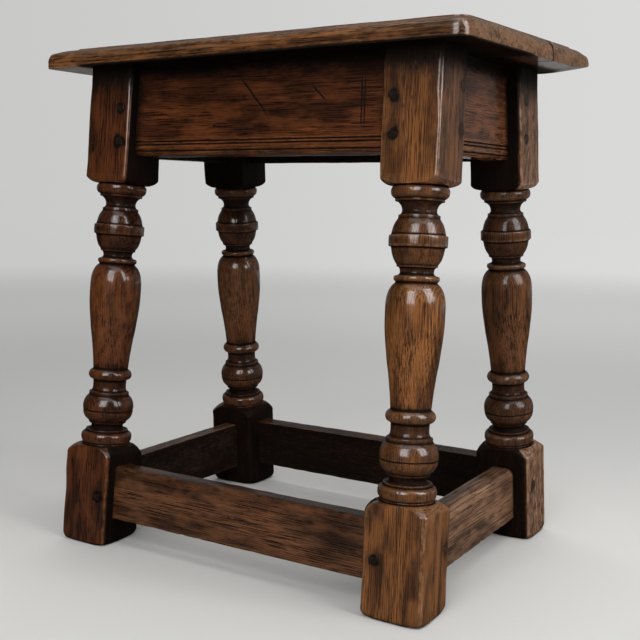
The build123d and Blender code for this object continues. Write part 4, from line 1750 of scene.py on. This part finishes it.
    def build(self) -> list[Skin]:
        """The surface: rings from the underside over the edge to the top, each ring a plan outline.

        Rings on the flats are drawn to the middle.  Ridges are rubbed and chipped, the top dips a
        little, and the rear right corner is worn up from below.  Old dirt and painted shade lie on
        the underside, less at its left end and at that corner.

        Returns:
            The board's skin.
        """
        noise = Noise(self.seed)
        corners, moulded, _ = self.corners()
        share, height, middle, turn = self.rings()
        plan, edge_of, inward = self.plan(share, height)
        up, middle = height[:, None], middle[:, None]
        centre = corners.mean(0)
        plan = centre + (plan - centre) * (1 - middle[..., None])
        z = np.repeat(up, len(edge_of), axis=1)
        for edge, nose in zip((1, 3), self.end_nose):
            near = np.convolve(edge_of == edge, np.ones(5) / 5, "same")[None, :]
            z = z * (1 - near) + self.lower_nose(height, nose)[:, None] * near
        local = np.concatenate([plan, z[..., None]], axis=-1)
        outer = np.array(moulded)[edge_of][None, :]
        ridge, crevice = turn[0][:, None] * outer, turn[1][:, None] * outer
        rub = np.maximum(noise.rough(local, (26, 26, 9)) + 0.3, 0)
        chips = np.maximum(noise.at(local + 40.0, (8, 8, 5)) - 0.5, 0) * 1.5
        cut = ridge * (0.5 * rub + chips) * 0.6
        plan = plan + np.where(outer[..., None], inward[None], 0) * cut[..., None]
        top = up > SIZES.seat_thickness / 2
        dip = 0.22 * noise.rough(local + 9.0, (90, 40, 50)) - 0.22
        z = z - np.where(top, cut - dip * held(up / SIZES.seat_thickness), 0)
        lifted = self.lifted_corner(plan)
        z = np.where(up < 2.0, z + lifted, np.maximum(z, lifted + 1.0))
        points = np.concatenate([plan, (SIZES.frame_height + z)[..., None]], axis=-1)

        on_edge = middle < 0.02
        wear = held(ridge + 0.25 * (middle > 0) * top)
        wear = np.where(top | (up > 1.0), wear, wear * 0.6)
        right_end = (edge_of == 1)[None, :] * on_edge * (up > 1.0)
        joint = self.front_depth - self.depth / 2
        crack = np.where(outer, 0, held((up - 19.0) / 1.0) * on_edge)
        grime = np.maximum(crevice, crack)
        grime = np.maximum(grime, fall(plan[..., 1] - joint, 1.1) * on_edge)
        x, y = plan[..., 0], plan[..., 1]
        polished = held((x - 207.0) / 6.0) * held((y + 12.0) / 16.0)
        # Dirt and painted shade on the underside, left off at its left end and at the rear right
        # corner.
        underside = 1.15 * held((x + 205.0) / 16.0) * (1 - polished)
        grime = np.maximum(grime, np.where(up < 2.0, underside, 0))
        return [Skin(points, {"wear": np.maximum(wear, 0.75 * right_end),
                              "grime": held(grime)})]

    def lower_nose(self, height: Array, nose: float) -> Array:
        """Heights with the square nose of the edge lowered to another."""
        above = [SIZES.seat_thickness - self.quirk, SIZES.seat_thickness]
        return np.interp(height, [0.0, self.nose, *above], [0.0, nose, *above])

    def lifted_corner(self, plan: Array) -> Array:
        """How far the underside of the rear right corner is worn up, fading over some 45 mm."""
        far = np.linalg.norm(plan - self.seat_corners()[2], axis=-1)
        return 4.5 * held(1 - far / 48.0) ** 1.5


# ---- pegs
@dataclass(frozen=True)
class PegSet(Part):
    """A group of riven pegs whose heads stand a little proud.

    Attributes:
        places: axes at each head's middle, Z outwards.
        cleaned: how much paler each head is.
        proud: how far the heads stand out.
    """

    node: str
    places: tuple[Axes, ...]
    seed: int
    cleaned: tuple[float, ...] = (0.2, 0.2, 0.2, 0.2)
    size: float = 9.2
    proud: float = 0.35
    depth: float = 34.0

    slot: ClassVar[str] = "peg_oak"
    COLUMNS: ClassVar[int] = 40
    SIDES: ClassVar[int] = 8
    WAVES: ClassVar[tuple[tuple[int, float], ...]] = ((2, 0.15), (3, 0.13), (5, 0.07))
    SCALES: ClassVar[Array] = np.array([0.8, 0.94, 0.98, 1.0, 0.97, 0.92, 0.8, 0.5, 0.2])

    @property
    def grain(self) -> Axes:
        """Axes of the first peg."""
        return self.places[0]

    def build(self) -> list[Skin]:
        """One skin for each peg: an uneven octagon, tapered inwards, with a worn dome for a head.

        The radius is that of an octagon times one and a few waves round it; rows scale it along the
        peg, and the head tips a little.

        Returns:
            The skins.
        """
        rng = np.random.default_rng(self.seed)
        skins = []
        angle = np.linspace(0, 2 * np.pi, self.COLUMNS, endpoint=False)
        sector = 2 * np.pi / self.SIDES
        head = self.proud * np.array([0.55, 0.85, 0.97, 1, 1])
        height = np.concatenate([[-self.depth, 3 - self.depth, -8, -0.5], head])[:, None]
        deep = held(1 - height / (0.5 * self.proud))
        for place, clean in zip(self.places, self.cleaned):
            within = np.mod(angle + rng.uniform(0, sector), sector) - sector / 2
            facet = math.cos(sector / 2) / np.cos(within)
            waves = [share * np.sin(n * angle + rng.uniform(0, 6)) for n, share in self.WAVES]
            radius = self.size / 2 * facet * (1 + sum(waves)) / 1.2
            spread = radius[None, :] * self.SCALES[:, None]
            tip = rng.uniform(-0.05, 0.05, 2)
            x, y = spread * np.cos(angle), spread * np.sin(angle)
            z = height + np.where(height > 0, x * tip[0] + y * tip[1] - 0.12, 0)
            skins.append(Skin(place.place(x, y, z), {
                "wear": clean * (height > 0), "grime": np.maximum(deep, 0.4 - 0.4 * clean)}))
        return skins


# ---- studio
@dataclass(frozen=True)
class Lamp:
    """A soft box aimed at the stool.

    Attributes:
        azimuth: degrees round from the front towards the right.
        aim: the place that it faces, in metres.
        glossy: False where polish doesn't mirror it.
    """

    name: str
    azimuth: float
    elevation: float
    distance: float
    size: tuple[float, float]
    watts: float
    aim: tuple[float, float, float] = (0.0, 0.0, 0.25)
    glossy: bool = True

    def hang(self) -> None:
        """Makes the lamp."""
        data = bpy.data.lights.new(self.name, "AREA")
        data.shape = "RECTANGLE"
        data.size, data.size_y = self.size
        data.energy = self.watts
        a, e = math.radians(self.azimuth), math.radians(self.elevation)
        back = Vector((math.sin(a) * math.cos(e), -math.cos(a) * math.cos(e), math.sin(e)))
        lamp = put(self.name, data)
        lamp.location = Vector(self.aim) + back * self.distance
        lamp.rotation_euler = (-back).to_track_quat("-Z", "Y").to_euler()
        lamp.visible_glossy = self.glossy


@dataclass(frozen=True)
class Studio:
    """The pale room: floor, backdrop colour, lamps and camera.

    Attributes:
        focal_px: focal length, in pixels of the frame.
        pitch: degrees that the camera looks down.
        roll: degrees that it is turned about its own line of sight.
        azimuth: degrees that it stands round from the front towards the right.
        fade_start: distance in metres at which the floor starts to turn into the backdrop.
    """

    focal_px: float = 988.093
    frame_px: int = 640
    pitch: float = 7.238
    roll: float = 0.684
    azimuth: float = 31.562
    eye: tuple[float, float, float] = (541.055, -863.133, 358.012)
    floor_colour: tuple[float, float, float] = (0.73, 0.725, 0.705)
    wall_colour: tuple[float, float, float] = (0.66, 0.66, 0.655)
    floor_size: float = 16.0
    fade_start: float = 0.35
    fade_end: float = 1.45
    fill: float = 0.07
    lamps: tuple[Lamp, ...] = (
        Lamp("front_soft_box", 12.0, 30.0, 2.3, (1.15, 1.7), 27.0),
        Lamp("right_soft_box", 88.0, 30.0, 2.2, (1.15, 1.6), 27.0),
        Lamp("overhead_cloth", 60.0, 78.0, 2.4, (2.6, 2.6), 22.0),
        Lamp("rear_fill", 215.0, 42.0, 2.4, (2.4, 2.0), 20.0, glossy=False),
    )

    def set_up(self) -> None:
        """Makes everything in the room."""
        self.lay_floor()
        self.paint_world()
        for lamp in self.lamps:
            lamp.hang()
        self.place_camera()

    def place_camera(self) -> None:
        """Puts the camera at the eye, turned, tipped and rolled."""
        a, p, r = (math.radians(v) for v in (self.azimuth, self.pitch, self.roll))
        forward = Vector((-math.sin(a) * math.cos(p), math.cos(a) * math.cos(p), -math.sin(p)))
        right = Vector((math.cos(a), math.sin(a), 0))
        up = right.cross(forward)
        side = right * math.cos(r) + up * math.sin(r)
        top = up * math.cos(r) - right * math.sin(r)
        data = bpy.data.cameras.new("camera")
        data.sensor_width = 36.0
        data.lens = self.focal_px * data.sensor_width / self.frame_px
        data.clip_start = 0.05
        camera = put("camera", data)
        rotation = Matrix((side, top, -forward)).transposed()
        camera.matrix_world = Matrix.Translation(Vector(self.eye) * METRE) @ rotation.to_4x4()
        bpy.context.scene.camera = camera

    def lay_floor(self) -> None:
        """A wide floor that fades into the backdrop colour with distance from the stool.

        Gloss sees it dimmer than the camera does, most of all towards the dark left of the room.
        """
        half = self.floor_size / 2
        mesh = bpy.data.meshes.new("floor")
        corners = [(-half, -half, 0), (half, -half, 0), (half, half, 0), (-half, half, 0)]
        mesh.from_pydata(corners, [], [(0, 1, 2, 3)])
        floor = put("floor", mesh)
        material = bpy.data.materials.new("studio_floor")
        material.use_nodes = True
        sheet = Sheet(material.node_tree)
        place = sheet.add("TexCoord").outputs["Object"]
        ways = sheet.add("SeparateXYZ", {0: place}).outputs
        far = sheet.add("VectorMath", {0: place}, operation="LENGTH").outputs["Value"]
        near = sheet.math("MAXIMUM", sheet.math("SUBTRACT", far, self.fade_start), 0.0)
        fade = sheet.math("DIVIDE", near, self.fade_end - self.fade_start)
        fade = sheet.math("POWER", fade, 0.7, clamp=True)
        # Painted shade in the floor's glow: darker nearer the stool and towards the left of the
        # room.
        tone = sheet.math("MULTIPLY", sheet.ramp(far, 2.5, 4.2, 0.80, 1.0),
                          sheet.ramp(far, 0.4, 2.2, 0.80, 1.0))
        tone = sheet.math("MULTIPLY", tone,
                          self.sweep(sheet, sheet.math("DIVIDE", ways["X"], far)))
        path = sheet.add("LightPath").outputs
        through_glass = sheet.math("ADD", path["Is Camera Ray"], path["Is Glossy Ray"])
        seen = sheet.math("ADD", through_glass, path["Is Transmission Ray"], clamp=True)
        lit = sheet.add("BsdfPrincipled", {"Base Color": (*self.floor_colour, 1), "Roughness": 0.7})
        glow = self.light(sheet, "Emission", self.wall_colour, tone)
        mix = self.mix(sheet, sheet.math("MULTIPLY", fade, seen), lit.outputs[0], glow)
        unlit = self.light(sheet, "Emission", (0, 0, 0), 0.0)
        dim = sheet.math("MULTIPLY", path["Is Glossy Ray"],
                         sheet.ramp(ways["X"], -1.2, 0.0, 0.97, 0.92))
        dim = sheet.math("MULTIPLY", dim, sheet.ramp(ways["Y"], 2.0, 3.2, 1.0, 0.3))
        sheet.add("OutputMaterial", {"Surface": self.mix(sheet, dim, mix, unlit)})
        mesh.materials.append(material)

    @staticmethod
    def sweep(sheet: Sheet, across: Socket) -> Socket:
        """Strength of the backdrop's glow, with painted shade that dims it towards the left of the
        room.
        """
        return sheet.ramp(across, -0.9, -0.15, 0.86, 1.06)

    @staticmethod
    def light(sheet: Sheet, kind: str, colour: Sequence[float], strength: object) -> Socket:
        """A light shader of a colour and a strength."""
        return sheet.add(kind, {"Color": (*colour, 1), "Strength": strength}).outputs[0]

    @staticmethod
    def mix(sheet: Sheet, share: Socket, first: Socket, second: Socket) -> Socket:
        """The first shader where the share is 0 and the second where it is 1."""
        return sheet.add("MixShader", {0: share, 1: first, 2: second}).outputs[0]

    def paint_world(self) -> None:
        """The backdrop colour where it is seen, and a plain dim fill for the rest."""
        world = bpy.data.worlds.new("room")
        bpy.context.scene.world = world
        world.use_nodes = True
        sheet = Sheet(world.node_tree)
        path = sheet.add("LightPath").outputs
        ways = sheet.add("SeparateXYZ", {0: sheet.add("TexCoord").outputs["Generated"]}).outputs
        behind = sheet.ramp(ways["Y"], -0.35, 0.6, 0.02, 0.22)
        wall = self.light(sheet, "Background", self.wall_colour, self.sweep(sheet, ways["X"]))
        gloss = self.light(sheet, "Background", self.wall_colour, behind)
        fill = self.light(sheet, "Background", (1, 1, 1), self.fill)
        shiny = sheet.math("ADD", path["Is Glossy Ray"], path["Is Transmission Ray"], clamp=True)
        unseen = self.mix(sheet, shiny, fill, gloss)
        whole = self.mix(sheet, path["Is Camera Ray"], unseen, wall)
        sheet.add("OutputWorld", {"Surface": whole})


# ---- the stool
LEGS = (
    (TurnedLeg(Side.LEFT, End.FRONT, 11, handled=0.4, bleach_and_light=(0.2, 0.2), stained=0.4),
     OakFinish("dark_leg_oak", deep=(0.011, 0.0030, 0.0011), warm=(0.142, 0.0395, 0.0105),
               rubbed=(0.24, 0.085, 0.025), pores=0.46, ring_spacing=2.0)),
    (TurnedLeg(Side.RIGHT, End.FRONT, 12, handled=0.0, bleach_and_light=(-0.4, 0.1), stained=0.72),
     OakFinish("golden_leg_oak", deep=(0.040, 0.0140, 0.0050), warm=(0.298, 0.112, 0.0290),
               rubbed=(0.345, 0.175, 0.082), pores=0.46, ring_spacing=1.9)),
    (TurnedLeg(Side.LEFT, End.REAR, 13, handled=0.4, bleach_and_light=(0.2, 0.2), stained=0.45),
     OakFinish("back_leg_oak", deep=(0.020, 0.0070, 0.0026), warm=(0.152, 0.053, 0.0165),
               rubbed=(0.26, 0.11, 0.042), pores=0.46, ring_spacing=2.2)),
    (TurnedLeg(Side.RIGHT, End.REAR, 14, handled=0.0, bleach_and_light=(0.45, 0.75), stained=0.7),
     OakFinish("brown_leg_oak", deep=(0.026, 0.0095, 0.0038), warm=(0.182, 0.071, 0.0255),
               rubbed=(0.36, 0.21, 0.130), pores=0.46, ring_spacing=2.2, coat=0.5)),
)
RAIL_FINISHES = {
    (RailKind.APRON, False): OakFinish(
        "apron_oak", deep=(0.013, 0.0035, 0.0012), warm=(0.180, 0.0515, 0.0135),
        rubbed=(0.22, 0.085, 0.032), pores=0.66, coat=0.65, ring_spacing=1.5),
    (RailKind.APRON, True): OakFinish(
        "side_apron_oak", deep=(0.040, 0.0135, 0.0055), warm=(0.260, 0.090, 0.0340),
        rubbed=(0.30, 0.13, 0.056), figure=0.9, pores=0.55, ring_spacing=1.5),
    (RailKind.STRETCHER, False): OakFinish(
        "stretcher_oak", deep=(0.019, 0.0064, 0.0026), warm=(0.195, 0.077, 0.0290),
        rubbed=(0.27, 0.115, 0.048), wear=1.1, pores=0.65, ring_spacing=1.7),
    (RailKind.STRETCHER, True): OakFinish(
        "side_stretcher_oak", deep=(0.050, 0.0250, 0.0140), warm=(0.390, 0.205, 0.1150),
        rubbed=(0.40, 0.23, 0.130), wear=1.2, pores=0.7, ring_spacing=1.7),
}
SEAT_FINISH = OakFinish(
    "seat_oak", deep=(0.024, 0.0083, 0.0030), warm=(0.275, 0.108, 0.0350),
    rubbed=(0.28, 0.160, 0.085), pores=0.7, ring_spacing=1.7)
PEG_FINISH = OakFinish(
    "peg_oak", deep=(0.0035, 0.0024, 0.0018), warm=(0.014, 0.0080, 0.0050),
    rubbed=(0.085, 0.048, 0.028), coat=0.3, figure=0.6, roughness=0.5, bump=0.8)

FRONT_APRON_MARKS = (
    KnifeMark((-16.5, -102.8, 467.3), (20.0, -106.3, 426.7), 1.35),
    KnifeMark((64.5, -103.9, 454.4), (79.9, -105.1, 440.6), 1.2),
    KnifeMark((114.6, -103.0, 464.0), (116.4, -107.5, 413.6), 1.0),
    KnifeMark((117.6, -103.1, 462.9), (119.3, -107.4, 415.2), 1.0),
)


@dataclass
class JointStool:
    """The whole stool, built piece by piece with shared shader groups."""

    tools: OakTools
    pieces: list[bpy.types.Object] = field(default_factory=list)

    def add(self, part: Part, finish: OakFinish) -> None:
        """Makes one piece."""
        self.pieces.append(part.dress(finish, self.tools))

    def build_seat(self) -> None:
        """Two boards and the pegs that hold them down, over the middles of the legs' tops."""
        self.add(SeatBoard(BoardKind.FRONT, 41), SEAT_FINISH)
        self.add(SeatBoard(BoardKind.REAR, 42), SEAT_FINISH)
        places = []
        for leg in (SIZES.leg_axes(side, end) for side in Side for end in End):
            middle = leg.origin + leg.rows[2] * SIZES.frame_height / leg.rows[2, 2]
            top = [middle[0], middle[1], SIZES.frame_height + SIZES.seat_thickness]
            places.append(Axes(np.array(top), np.eye(3)))
        pegs = PegSet("seat_pegs", tuple(places), 51, size=9.0, proud=0.25, depth=30.0)
        self.add(pegs, PEG_FINISH)

    def build_legs(self) -> None:
        """Four turned legs."""
        for leg, finish in LEGS:
            self.add(leg, finish)

    def build_rails(self) -> None:
        """Four aprons and four stretchers."""
        for index, where in enumerate((End.FRONT, End.REAR, Side.LEFT, Side.RIGHT)):
            marks = FRONT_APRON_MARKS if where is End.FRONT else ()
            for rail in (Rail(RailKind.APRON, where, 21 + index, marks=marks),
                         Rail(RailKind.STRETCHER, where, 31 + index)):
                self.add(rail, RAIL_FINISHES[rail.kind, rail.sideways])

    def build_pegs(self) -> None:
        """The pegs that lock the rails' tenons in the legs."""
        for index, (end, side) in enumerate((end, side) for end in End for side in Side):
            where = f"{end.name.lower()}_{side.name.lower()}"
            for kind, group in zip(("apron", "stretcher"), peg_places(side, end)):
                places = tuple(place.axes() for place in group)
                cleaned = tuple(0.9 if place.sideways else 0.2 for place in group)
                pegs = PegSet(f"{kind}_pegs_{where}", places, 61 + index, cleaned)
                self.add(pegs, PEG_FINISH)


def main() -> None:
    """Builds the stool and its room."""
    logging.basicConfig(level=logging.INFO, format="%(name)s %(message)s")
    bpy.context.scene.view_settings.view_transform = "Standard"
    stool = JointStool(OakTools())
    stool.build_seat()
    stool.build_legs()
    stool.build_rails()
    stool.build_pegs()
    Studio().set_up()
    LOG.info("%d pieces", len(stool.pieces))


if __name__ == "__main__":
    main()
